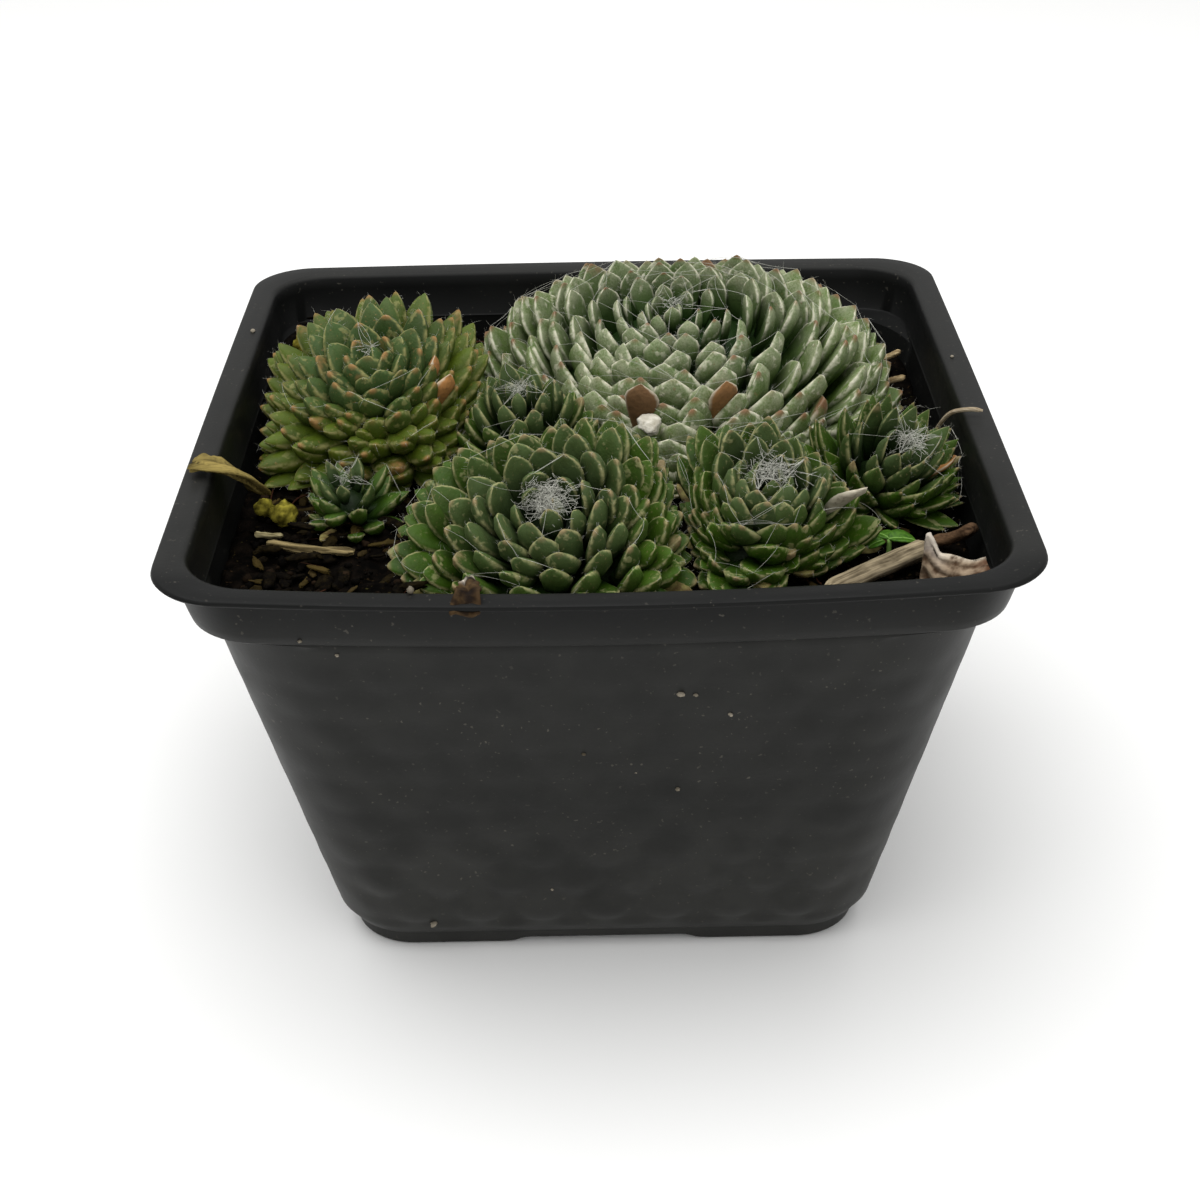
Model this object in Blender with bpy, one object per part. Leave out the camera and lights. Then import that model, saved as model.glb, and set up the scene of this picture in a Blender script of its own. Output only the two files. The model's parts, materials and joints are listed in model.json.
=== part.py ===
"""Potted cobweb houseleek: a square plastic nursery pot, its soil, seven rosettes of fleshy
leaves, and the dry scraps, straws, bark and seedling that lie among them.

Metres, +Z up. The origin is on the ground under the middle of the pot; the front is at -Y.
"""

import math
import random

import bmesh
import bpy
from mathutils import Matrix, Vector

GAP = 0.0003

# Pot: heights above the ground, half widths from the middle to a flat side
RIM_Z = 0.0560
RIM_HALF = 0.0450
RIM_CORNER = 0.0070
RIM_WIDTH = 0.0030
RIM_LIP = 0.0007
COLLAR_HEIGHT = 0.0060
COLLAR_TOP_HALF = 0.0434
COLLAR_FOOT_HALF = 0.0421
COLLAR_CORNER = 0.0070
BODY_CORNER_TOP = 0.0140
BODY_CORNER_FOOT = 0.0085
BODY_FOOT_HALF = 0.0312
BODY_FOOT_Z = 0.0026
TAPER = 0.2306
WALL = 0.0008
FOOT_HALF = 0.0298
FOOT_Z = 0.0022
FLOOR_UNDER_Z = 0.0008
OPENING_HALF = 0.0406
OPENING_TOP_HALF = 0.0414
FLOOR_Z = 0.0022
ARCH_WIDTH = 0.0240
ARCH_SLOPE = 0.0030
DRAIN_RADIUS = 0.0025
FRONT_BOW = 0.0029
FRONT_OUT = 0.0001
BACK_BOW = 0.0007
SIDE_BOW = 0.0002
CORNER_STEPS = 4
SIDE_STEPS = 3

# Soil surface
SOIL_Z = 0.0470
SOIL_LEFT_RISE = 0.0006
SOIL_BANK_RISE = 0.0040
SOIL_BANK = (-0.036, 0.034, 0.020)
SOIL_RINGS = (1.0, 0.93, 0.83, 0.72, 0.58, 0.40, 0.20)
SOIL_SIDE_STEPS = 5
STEM_DEPTH = 0.0070

GOLDEN_ANGLE = math.pi * (3.0 - math.sqrt(5.0))

# Rosettes: heart is where the leaves spring from, reach is from the axis to the outer tips,
# height from the heart to the crown, lean the axis' tilt towards lean_to
ROSETTES = [
    {"name": "rosette_large_back", "heart": (0.0098, 0.0162, 0.0483), "reach": 0.0285, "height": 0.0156,
     "lean": 10, "lean_to": (-0.3, -1.0), "leaves": 112, "leaf": (0.0134, 0.0064, 0.0016),
     "crown": 0.45, "steep": (94, 14), "fall": 1.6, "seed": 1211, "finish": "leaf_grey_green",
     "borders": {"rosette_front_centre": 0.60}},
    {"name": "rosette_left", "heart": (-0.0245, 0.0056, 0.0495), "reach": 0.0196, "height": 0.0144,
     "lean": 21, "lean_to": (-0.3, -1.0), "leaves": 64, "leaf": (0.0114, 0.0048, 0.0019),
     "crown": 0.76, "spread": 0.60, "steep": (94, 0), "fall": 0.95, "seed": 21,
     "finish": "leaf_yellow_green"},
    {"name": "rosette_front_centre", "heart": (-0.0040, -0.0225, 0.0484), "reach": 0.0194, "height": 0.0122,
     "lean": 28, "lean_to": (-0.3, -1.0), "leaves": 58, "leaf": (0.0112, 0.0056, 0.0018),
     "crown": 0.78, "spread": 0.66, "steep": (104, 2), "fall": 1.2, "seed": 833,
     "borders": {"rosette_large_back": 0.40, "rosette_front_right": 0.64}},
    {"name": "rosette_front_right", "heart": (0.0174, -0.0205, 0.0483), "reach": 0.0160, "height": 0.0138,
     "lean": 23, "lean_to": (0.15, -1.0), "leaves": 48, "leaf": (0.0100, 0.0053, 0.0017),
     "crown": 0.70, "spread": 0.60, "steep": (98, 2), "fall": 1.2, "seed": 114,
     "borders": {"rosette_front_centre": 0.36},
     "clear_of": [((0.0274, -0.0270, 0.0496), (0.42, -0.57, -0.707))]},
    {"name": "rosette_right", "heart": (0.0318, -0.0100, 0.0490), "reach": 0.0118, "height": 0.0108,
     "lean": 32, "lean_to": (0.6, -1.0), "leaves": 32, "leaf": (0.0084, 0.0043, 0.0014),
     "crown": 0.55, "steep": (96, 2), "fall": 1.3, "seed": 1215,
     "clear_of": [((0.0310, -0.0186, 0.0500), (0.0, -1.0, 0.0))]},
    {"name": "rosette_small_middle", "heart": (-0.0081, 0.0006, 0.0488), "reach": 0.0108, "height": 0.0104,
     "lean": 8, "lean_to": (-0.4, -1.0), "leaves": 28, "leaf": (0.0076, 0.0043, 0.0014),
     "crown": 0.55, "steep": (96, 14), "fall": 1.4, "seed": 16},
    {"name": "rosette_small_left", "heart": (-0.0280, -0.0118, 0.0489), "reach": 0.0074, "height": 0.0058,
     "lean": 12, "lean_to": (-0.6, -1.0), "leaves": 16, "leaf": (0.0058, 0.0032, 0.0012),
     "crown": 0.50, "steep": (92, 4), "fall": 1.1, "seed": 17,
     "clear_of": [((-0.0329, -0.0130, 0.0490), (-1.0, -0.1, 0.0))]},
]

# Leaf sections from root to tip: place along the leaf, share of the width, share of the thickness
LEAF_SECTIONS = ((0.0, 0.36, 0.80), (0.72, 1.00, 1.00))
LEAF_CURL = math.radians(14)
ROOT_DEPTHS = (0.0002, 0.0006, 0.0002)
LOWEST_POLAR = math.radians(97)
TIP_CLEARANCE = 0.0012

# Hole in the soil that the dry stalk stands in
STALK_HOLE = (0.0390, 0.0012)
STALK_HOLE_RADIUS = 0.0010
STALK_FOOT = 0.0440

# Bars: straight or bent pieces, as places along the middle and their half width and half depth;
# for one on the soil the third value is the lift above lying on it
BARS = [
    {"name": "wood_stick", "finish": "weathered_wood", "sides": 6, "half": (0.00095, 0.00090),
     "on_soil": True,
     "path": ((0.0233, -0.0324, 0.0002), (0.0276, -0.0290, 0.0004), (0.0322, -0.0257, 0.0005),
              (0.0356, -0.0234, 0.0006))},
    {"name": "bark_bit", "finish": "brown_bark", "sides": 5, "half": (0.00085, 0.00060),
     "on_soil": True,
     "path": ((0.0366, -0.0206, 0.0000), (0.0387, -0.0222, 0.0016), (0.0402, -0.0240, 0.0036))},
    {"name": "bark_strip", "finish": "tan_bark", "sides": 4, "half": (0.0011, 0.00035),
     "path": ((-0.0442, -0.0150, 0.0568), (-0.0419, -0.0156, 0.0568), (-0.0397, -0.0146, 0.0551),
              (-0.0375, -0.0118, 0.0512))},
    {"name": "straw_front_left", "finish": "pale_straw", "sides": 4, "half": (0.0006, 0.00040),
     "on_soil": True,
     "path": ((-0.0365, -0.0184, 0.0), (-0.0318, -0.0200, 0.0), (-0.0267, -0.0206, 0.0))},
    {"name": "straw_short_left", "finish": "pale_straw", "sides": 4, "half": (0.0004, 0.00035),
     "on_soil": True,
     "path": ((-0.0382, -0.0160, 0.0), (-0.0350, -0.0165, 0.0))},
    {"name": "straw_back_right", "finish": "tan_bark", "sides": 4, "half": (0.0006, 0.00035),
     "on_soil": True,
     "path": ((0.0346, 0.0290, 0.0), (0.0373, 0.0282, 0.0012), (0.0393, 0.0272, 0.0026))},
    {"name": "straw_right", "finish": "tan_bark", "sides": 4, "half": (0.0004, 0.00035),
     "on_soil": True,
     "path": ((0.0363, 0.0232, 0.0), (0.0392, 0.0216, 0.0015))},
    {"name": "dry_stalk", "finish": "pale_straw", "sides": 5, "half": (0.0003, 0.00030),
     "path": ((0.0389, 0.0014, STALK_FOOT), (0.0390, 0.0010, 0.0485), (0.0394, -0.0010, 0.0520),
              (0.0405, -0.0032, 0.0554), (0.0424, -0.0048, 0.0567), (0.0439, -0.0054, 0.0568))},
]

BAR_FULLNESS = 1.15

# Lumps: centre, radius and seed; the third value of a centre is zero where it lies on the soil
LUMPS = [
    {"name": "yellow_lump_large", "finish": "yellow_grit", "centre": (-0.0352, -0.0128, 0.0),
     "radius": 0.0016, "seed": 3},
    {"name": "yellow_lump_small", "finish": "yellow_grit", "centre": (-0.0378, -0.0106, 0.0),
     "radius": 0.0012, "seed": 5},
    {"name": "yellow_lump_back", "finish": "yellow_grit", "centre": (-0.0374, 0.0282, 0.0),
     "radius": 0.0014, "seed": 8},
    {"name": "white_grit", "finish": "white_grit", "centre": (0.0062, -0.0027, 0.0545),
     "radius": 0.0012, "seed": 9},
]
FLAT_SHARE = 0.62

# Curled dry leaf by the front right corner: its left foot, and the way to its right foot
CURL_PLACE = (0.0336, -0.0312, 0.0474)
CURL_SPAN = (0.0056, -0.0028, 0.0032)
CURL_HEIGHTS = (0.0070, 0.0042)
CURL_THICK = 0.0007

# Crumpled leaf scrap on the front rim
SCRAP_PLACE = (-0.0128, -0.0441)
SCRAP_HALF = (0.0013, 0.0017)
SCRAP_THICK = 0.0006

# Seedling: three small round leaflets on a short stem
SEEDLING_PLACE = (0.0322, -0.0216)
SEEDLING_TOP = 0.0510
SEEDLING_FOOT = 0.0440
SEEDLING_STEM = 0.0004
SEEDLING_LEAFLETS = ((0.0016, 20, 0.0013), (0.0016, 140, 0.0012), (0.0014, 245, 0.0010))


# Surfaces: name, colour, roughness
FINISHES = [
    ("black_plastic", (0.018, 0.019, 0.020), 0.42),
    ("dark_soil", (0.020, 0.013, 0.009), 0.95),
    ("leaf_green", (0.09, 0.19, 0.06), 0.60),
    ("leaf_grey_green", (0.16, 0.22, 0.12), 0.70),
    ("leaf_yellow_green", (0.17, 0.24, 0.05), 0.55),
    ("weathered_wood", (0.38, 0.29, 0.19), 0.85),
    ("brown_bark", (0.09, 0.05, 0.03), 0.90),
    ("tan_bark", (0.34, 0.23, 0.10), 0.85),
    ("pale_straw", (0.55, 0.45, 0.28), 0.75),
    ("yellow_grit", (0.50, 0.42, 0.08), 0.85),
    ("white_grit", (0.75, 0.72, 0.66), 0.85),
    ("dry_leaf", (0.45, 0.33, 0.22), 0.80),
    ("seedling_green", (0.10, 0.36, 0.05), 0.50),
]


def smooth(edge_in, edge_out, value):
    share = min(1.0, max(0.0, (value - edge_in) / (edge_out - edge_in)))
    return share * share * (3.0 - 2.0 * share)


def finish(name, colour, roughness):
    """A plain material of one colour."""
    surface = bpy.data.materials.new(name)
    surface.use_nodes = True
    shader = surface.node_tree.nodes["Principled BSDF"]
    shader.inputs["Base Color"].default_value = (*colour, 1.0)
    shader.inputs["Roughness"].default_value = roughness
    shader.inputs["Metallic"].default_value = 0.0
    return surface


def add_object(name, points, faces, surface=None):
    mesh = bpy.data.meshes.new(name)
    mesh.from_pydata([tuple(point) for point in points], [], faces)
    mesh.validate()
    thing = bpy.data.objects.new(name, mesh)
    bpy.context.scene.collection.objects.link(thing)
    if surface is not None:
        mesh.materials.append(surface)
    return thing


def combine(target, others, operation, solver="EXACT"):
    """Join the others to the target, or cut them from it, in one Boolean, and remove them."""
    group = bpy.data.collections.new(target.name + "_parts")
    for other in others:
        group.objects.link(other)
    step = target.modifiers.new("combine", "BOOLEAN")
    step.operation = operation
    step.operand_type = "COLLECTION"
    step.collection = group
    step.solver = solver
    bpy.context.scene.collection.children.link(group)
    bpy.context.view_layer.update()
    shape = bpy.data.meshes.new_from_object(target.evaluated_get(bpy.context.evaluated_depsgraph_get()))
    target.modifiers.clear()
    target.data = shape
    for other in others:
        bpy.data.objects.remove(other, do_unlink=True)
    bpy.data.collections.remove(group)


def loft(name, loops, surface=None):
    """Close a stack of loops, counter-clockwise from above and listed upwards, into one solid."""
    count = len(loops[0])
    points = [point for loop in loops for point in loop]
    faces = []
    for level in range(len(loops) - 1):
        for step in range(count):
            after = (step + 1) % count
            low, high = level * count, (level + 1) * count
            faces.append((low + step, low + after, high + after, high + step))
    faces.append(tuple(reversed(range(count))))
    faces.append(tuple(range((len(loops) - 1) * count, len(loops) * count)))
    return add_object(name, points, faces, surface)


# Pot

def body_half(z):
    """Half width of the tapered wall's outside at a height."""
    return BODY_FOOT_HALF + TAPER * (z - BODY_FOOT_Z)


def rounded_square(half, corner, z, side_steps=SIDE_STEPS):
    """A square with round corners, its sides bowed out more the higher they are."""
    bow = (z / RIM_Z) ** 2
    points = []
    for quarter in range(4):
        turn = quarter * math.pi / 2
        for step in range(CORNER_STEPS + 1):
            angle = turn + step / CORNER_STEPS * math.pi / 2
            middle = Vector((math.copysign(half - corner, math.cos(turn + math.pi / 4)),
                             math.copysign(half - corner, math.sin(turn + math.pi / 4))))
            points.append(middle + corner * Vector((math.cos(angle), math.sin(angle))))
        ahead = Matrix.Rotation(turn + math.pi / 2, 2)
        for step in range(1, side_steps):
            along = (half - corner) * (1 - 2 * step / side_steps)
            points.append(ahead @ Vector((half, 0)) + ahead @ Vector((0, -along)))
    return [bowed(point, half, bow, z) for point in points]


def bowed(point, half, bow, z):
    """Push a point of the outline outwards, most in the middle of each side."""
    x, y = point
    front_back, out = (FRONT_BOW, FRONT_OUT) if y < 0 else (BACK_BOW, 0.0)
    x_push = SIDE_BOW * bow * (1 - min(1.0, abs(y) / half) ** 2) * (x / half)
    y_push = (front_back * (1 - min(1.0, abs(x) / half) ** 2) + out) * bow * (y / half)
    centring = (FRONT_BOW + FRONT_OUT - BACK_BOW) / 2
    return Vector((x + x_push, y + y_push + centring, z))


def inner_corner(z):
    share = (z - FLOOR_Z) / (RIM_Z - COLLAR_HEIGHT - FLOOR_Z)
    return BODY_CORNER_FOOT - WALL + (BODY_CORNER_TOP - BODY_CORNER_FOOT) * share


def build_pot(surface):
    """A tapered box whose wall runs up the outside, over the flat rim and down the inside."""
    ledge = RIM_Z - COLLAR_HEIGHT - RIM_LIP
    under_rim = RIM_Z - RIM_LIP
    step = 0.0004
    outside = [
        (FOOT_HALF - 0.0002, BODY_CORNER_FOOT - 0.0012, 0.0),
        (FOOT_HALF, BODY_CORNER_FOOT - 0.0010, FOOT_Z),
        (FOOT_HALF + 0.0007, BODY_CORNER_FOOT - 0.0006, FOOT_Z + 0.0002),
        (body_half(BODY_FOOT_Z + 0.0006) - 0.0004, BODY_CORNER_FOOT - 0.0002, BODY_FOOT_Z + 0.0008),
        (body_half(BODY_FOOT_Z + 0.0022), BODY_CORNER_FOOT, BODY_FOOT_Z + 0.0022),
        (body_half(ledge * 0.5), (BODY_CORNER_FOOT + BODY_CORNER_TOP) / 2, ledge * 0.5),
        (body_half(ledge - step), BODY_CORNER_TOP, ledge - step),
        (COLLAR_FOOT_HALF, COLLAR_CORNER, ledge),
        (COLLAR_TOP_HALF, COLLAR_CORNER, under_rim),
        (RIM_HALF - 0.0001, RIM_CORNER, under_rim),
        (RIM_HALF, RIM_CORNER, under_rim + 0.0002),
        (RIM_HALF, RIM_CORNER, RIM_Z - 0.0002),
        (RIM_HALF - 0.0003, RIM_CORNER, RIM_Z),
    ]
    inside = [
        (RIM_HALF - RIM_WIDTH + 0.0004, COLLAR_CORNER - 0.0002, RIM_Z),
        (RIM_HALF - RIM_WIDTH - 0.0002, COLLAR_CORNER - 0.0004, RIM_Z - 0.0006),
        (RIM_HALF - RIM_WIDTH - 0.0003, COLLAR_CORNER - WALL, under_rim - 0.0012),
        (COLLAR_FOOT_HALF - WALL, COLLAR_CORNER - WALL, ledge + WALL),
        (body_half(ledge + WALL - step) - WALL, inner_corner(ledge), ledge + WALL - step),
        (body_half(ledge * 0.5) - WALL, inner_corner(ledge * 0.5), ledge * 0.5),
        (body_half(FLOOR_Z + 0.0024) - WALL, inner_corner(FLOOR_Z), FLOOR_Z + 0.0024),
        (body_half(FLOOR_Z + 0.0006) - WALL - 0.0008, inner_corner(FLOOR_Z) - 0.0006, FLOOR_Z + 0.0006),
        (body_half(FLOOR_Z) - WALL - 0.0022, inner_corner(FLOOR_Z) - 0.0012, FLOOR_Z),
    ]
    pot = loft("pot", [rounded_square(*ring) for ring in outside + inside], surface)
    combine(pot, foot_cutters(), "DIFFERENCE")
    return pot


def foot_cutters():
    """Two crossing channels that leave four corner feet, and five drain holes."""
    reach = RIM_HALF
    wide = ARCH_WIDTH / 2
    narrow = wide - ARCH_SLOPE
    cutters = []
    for turn in range(2):
        section = [(-wide, -0.001), (wide, -0.001), (wide, 0.0002), (narrow, FLOOR_UNDER_Z),
                   (-narrow, FLOOR_UNDER_Z), (-wide, 0.0002)]
        around = Matrix.Rotation(turn * math.pi / 2, 3, "Z")
        ends = [[around @ Vector((x, y, z)) for x, z in section] for y in (reach, -reach)]
        cutters.append(loft("channel", ends))
    spread = ARCH_WIDTH * 0.7
    for x, y in ((0, 0), (spread, 0), (-spread, 0), (0, spread), (0, -spread)):
        cutters.append(loft("drain", [disc(x, y, z, DRAIN_RADIUS, 10) for z in (-0.001, FLOOR_Z + 0.001)]))
    return cutters


def disc(x, y, z, radius, sides):
    angles = [2 * math.pi * (side + 0.5) / sides for side in range(sides)]
    return [Vector((x + radius * math.cos(angle), y + radius * math.sin(angle), z)) for angle in angles]


# Soil

def soil_height(x, y):
    """Height of the soil: a little higher at the left, with a bank at the back left."""
    bank_x, bank_y, bank_size = SOIL_BANK
    rise = SOIL_LEFT_RISE * smooth(0.000, -0.024, x)
    return SOIL_Z + rise + SOIL_BANK_RISE * smooth(bank_size, 0.004, math.hypot(x - bank_x, y - bank_y))


def build_soil(surface):
    """Soil that fills the pot, level with its inside and with a plain hole for each stem."""
    wall_gap = WALL + GAP
    top = SOIL_Z
    loops = [rounded_square(body_half(z) - wall_gap - inset, inner_corner(z) - GAP - inset, z,
                            SOIL_SIDE_STEPS)
             for z, inset in ((FLOOR_Z + GAP, 0.0026), (FLOOR_Z + 0.0030, 0.0002), (top * 0.6, 0.0))]
    outline = rounded_square(body_half(top) - wall_gap - 0.0002, inner_corner(top) - GAP, top,
                             SOIL_SIDE_STEPS)
    for ring in SOIL_RINGS:
        loop = []
        for point in outline:
            x, y = point.x * ring, point.y * ring
            loop.append(Vector((x, y, soil_height(x, y))))
        loops.append(loop)
    soil = loft("soil", loops, surface)
    holes = []
    for x, y, low, radius in stem_holes():
        holes.append(loft("hole", [disc(x, y, level, radius, 8) for level in (low, RIM_Z + 0.004)]))
    combine(soil, holes, "DIFFERENCE")
    return soil


def stem_holes():
    """Place, bottom and radius of the plain hole for each stem."""
    for spec in ROSETTES:
        x, y, z = spec["heart"]
        yield x, y, z - STEM_DEPTH - 2 * GAP, stem_radius(spec) + GAP
    yield *SEEDLING_PLACE, SEEDLING_FOOT - GAP, SEEDLING_STEM + 1.5 * GAP
    yield *STALK_HOLE, STALK_FOOT - 2 * GAP, STALK_HOLE_RADIUS


# Rosettes

def stem_radius(spec):
    return 0.0010 + spec["reach"] * 0.06


def axis_frame(spec, lean_share=1.0):
    """Matrix from a rosette's own frame, its axis along +Z, to the world."""
    towards = Vector((*spec["lean_to"], 0.0)).normalized()
    turn = Matrix.Rotation(math.radians(spec["lean"] * lean_share), 4, Vector((0, 0, 1)).cross(towards))
    return Matrix.Translation(spec["heart"]) @ turn


def walls_round(spec):
    """Planes that a rosette's leaves stay behind: towards its neighbours and the pot's walls."""
    own = Vector(spec["heart"])
    planes = []
    for other in ROSETTES:
        if other is spec:
            continue
        apart = Vector(other["heart"]) - own
        apart.z = 0
        if apart.length < spec["reach"] + other["reach"] + 0.002:
            share = spec["reach"] / (spec["reach"] + other["reach"])
            share = spec.get("borders", {}).get(other["name"], share)
            planes.append((own + apart * share, apart.normalized()))
    planes += [(Vector(place), Vector(outward).normalized()) for place, outward in spec.get("clear_of", ())]
    slope = math.atan((OPENING_TOP_HALF - OPENING_HALF) / (RIM_Z - SOIL_Z))
    for turn in range(4):
        outward = Matrix.Rotation(turn * math.pi / 2, 3, "Z") @ Vector((math.cos(slope), 0, -math.sin(slope)))
        level = Matrix.Rotation(turn * math.pi / 2, 3, "Z") @ Vector((OPENING_HALF, 0, SOIL_Z))
        planes.append((level, outward))
    return planes


def fits(points, planes):
    """Whether all points are clear of the planes and of the soil."""
    for point in points:
        for place, outward in planes:
            if (point - place).dot(outward) > -GAP:
                return False
        if point.z < soil_height(point.x, point.y) + GAP:
            return False
    return True


def leaf_points(length, width, thick, steep):
    """Three-sided sections with the keel below, back from the tip at the frame's origin to the root.

    The frame has +X along the leaf's way out, +Y across it and +Z up the rosette's axis. The
    leaf lies on an arc that starts at the angle steep at the root and curls up to the tip.
    """
    def spot(along):
        angle = steep + LEAF_CURL * along / 2
        return Vector((math.cos(angle), 0, math.sin(angle))) * length * along

    tip = spot(1.0)
    points = []
    for along, wide, deep in LEAF_SECTIONS:
        angle = steep + LEAF_CURL * along
        up = Vector((-math.sin(angle), 0, math.cos(angle)))
        middle = spot(along) - tip
        half = Vector((0, width * wide / 2, 0))
        points += [middle - half, middle - up * thick * deep, middle + half]
    points.append(Vector((0, 0, 0)))
    return points


def leaf_faces(rows):
    faces = [(2, 1, 0)]
    for row in range(rows - 1):
        low, high = row * 3, row * 3 + 3
        faces += [(low + side, low + (side + 1) % 3, high + (side + 1) % 3, high + side) for side in range(3)]
    low, tip = (rows - 1) * 3, rows * 3
    faces += [(low + side, low + (side + 1) % 3, tip) for side in range(3)]
    return faces


def room_towards(spec, planes, direction):
    """Share of the reach that is free in a level direction before a neighbour or the pot's wall."""
    room = spec["reach"]
    for place, outward in planes:
        facing = direction.dot(outward)
        if facing > 0.05:
            room = min(room, (place - Vector(spec["heart"])).dot(outward) / facing - GAP)
    return max(0.35, room / spec["reach"])


def build_core(spec, surface):
    """The stem in its hole and the dome that the leaves are rooted in, turned as one profile."""
    length = spec["leaf"][0]
    wide = spec["reach"] - length * 0.86
    high = spec["height"] - length * spec["crown"] * 0.84
    stem = stem_radius(spec)
    sides = 9
    x, y, z = spec["heart"]
    loops = [disc(x, y, z - STEM_DEPTH - GAP, stem * 0.8, sides), disc(x, y, z - 0.0008, stem, sides)]
    for radius, level, lean_share in ((0.86, 0.0, 0.0), (1.00, 0.24, 0.3), (0.74, 0.66, 0.8),
                                      (0.20, 1.00, 1.0)):
        frame = axis_frame(spec, lean_share)
        loops.append([frame @ point for point in disc(0, 0, high * level, wide * radius, sides)])
    return loft(spec["name"], loops, surface)


def build_rosette(spec, surface):
    """Leaves on a golden-angle spiral, their tips on a dome: upright at the crown, low at the foot."""
    draw = random.Random(spec["seed"])
    frame = axis_frame(spec)
    planes = walls_round(spec)
    core = build_core(spec, surface)
    steep_in, steep_out = spec["steep"]
    full_length, full_width, full_thick = spec["leaf"]
    leaves = []
    for number in range(spec["leaves"]):
        age = (number + 0.5) / spec["leaves"]
        share = age ** spec.get("spread", 0.56)
        polar = LOWEST_POLAR * share
        around = number * GOLDEN_ANGLE + draw.uniform(-0.06, 0.06)
        grown = spec["crown"] + (1 - spec["crown"]) * smooth(0.0, 0.6, share)
        length = full_length * grown * draw.uniform(0.96, 1.04)
        width = full_width * grown * draw.uniform(0.94, 1.06)
        thick = max(0.0009, full_thick * grown)
        around_axis = frame @ Matrix.Rotation(around, 4, "Z")
        level_way = around_axis.to_3x3() @ Vector((1, 0, 0))
        level_way.z = 0
        room = room_towards(spec, planes, level_way.normalized())
        steep = steep_in + (steep_out - steep_in) * share ** spec["fall"] + draw.uniform(-3, 3)
        steep += (1 - room) * 34 * math.sin(polar)
        reach = spec["reach"] * room * math.sin(min(polar, math.pi / 2)) * draw.uniform(0.97, 1.0)
        height = spec["height"] * math.cos(polar)
        for attempt in range(16):
            angle = min(math.radians(steep + attempt * 4), math.radians(106)) - LEAF_CURL
            tip_place = Vector((reach * (1 - 0.02 * attempt), 0, height + 0.0005 * attempt))
            tip_world = around_axis @ tip_place
            lift = soil_height(tip_world.x, tip_world.y) + TIP_CLEARANCE - tip_world.z
            tip = Matrix.Translation(tip_place + Vector((0, 0, max(0.0, lift))))
            points = [around_axis @ tip @ point for point in leaf_points(length, width, thick, angle)]
            for corner, depth in zip(points[:3], ROOT_DEPTHS):
                corner.z = max(corner.z, spec["heart"][2] - depth - 0.0004 * age)
            if fits(points[3:], planes):
                leaves.append(add_object("leaf", points, leaf_faces(len(LEAF_SECTIONS))))
                break
    combine(core, leaves, "UNION")
    keep_largest_piece(core)
    return core


def keep_largest_piece(thing):
    """Drop loose scraps and fill sealed hollows: only the largest run of joined faces stays."""
    shape = bmesh.new()
    shape.from_mesh(thing.data)
    waiting = set(range(len(shape.faces)))
    shape.faces.ensure_lookup_table()
    runs = []
    while waiting:
        first = min(waiting)
        waiting.remove(first)
        run, front = [first], [first]
        while front:
            for edge in shape.faces[front.pop()].edges:
                for face in edge.link_faces:
                    if len(edge.link_faces) == 2 and face.index in waiting:
                        waiting.remove(face.index)
                        front.append(face.index)
                        run.append(face.index)
        runs.append(run)
    runs.sort(key=len)
    stray = [shape.faces[number] for run in runs[:-1] for number in run]
    bmesh.ops.delete(shape, geom=stray, context="FACES")
    shape.to_mesh(thing.data)
    shape.free()


# Pieces that lie on the soil and the rim

def build_bar(spec, surface):
    """A bar with a flat-sided section along a path, thinner at both ends."""
    path = [Vector(place) for place in spec["path"]]
    wide, deep = spec["half"]
    if spec.get("on_soil"):
        for place in path:
            place.z += soil_height(place.x, place.y) + deep * BAR_FULLNESS + GAP
    sides = spec["sides"]
    loops = []
    for number, place in enumerate(path):
        before, after = path[max(0, number - 1)], path[min(len(path) - 1, number + 1)]
        along = (after - before).normalized()
        across = along.cross(Vector((0, 0, 1))).normalized()
        up = across.cross(along)
        taper = 0.72 if number in (0, len(path) - 1) else 1.0
        angles = [2 * math.pi * (side + 0.5) / sides for side in range(sides)]
        full = taper * BAR_FULLNESS
        loops.append([place + (across * math.cos(turn) * wide + up * math.sin(turn) * deep) * full
                      for turn in angles])
    return recalculated(loft(spec["name"], loops, surface))


def recalculated(thing):
    """Turn all faces outwards."""
    shape = bmesh.new()
    shape.from_mesh(thing.data)
    bmesh.ops.recalc_face_normals(shape, faces=shape.faces)
    shape.to_mesh(thing.data)
    shape.free()
    return thing


def build_lump(spec, surface):
    """An angular grain with twenty faces, flattened below."""
    draw = random.Random(spec["seed"])
    shape = bmesh.new()
    bmesh.ops.create_icosphere(shape, subdivisions=1, radius=spec["radius"])
    centre = Vector(spec["centre"])
    below = spec["radius"] * FLAT_SHARE
    if centre.z == 0:
        centre.z = soil_height(centre.x, centre.y) + below + GAP
    for corner in shape.verts:
        corner.co *= draw.uniform(0.82, 1.05)
        corner.co.z = max(corner.co.z, draw.uniform(0.0, 0.00005) - below)
        corner.co += centre
    mesh = bpy.data.meshes.new(spec["name"])
    shape.to_mesh(mesh)
    shape.free()
    mesh.materials.append(surface)
    thing = bpy.data.objects.new(spec["name"], mesh)
    bpy.context.scene.collection.objects.link(thing)
    return thing


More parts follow.
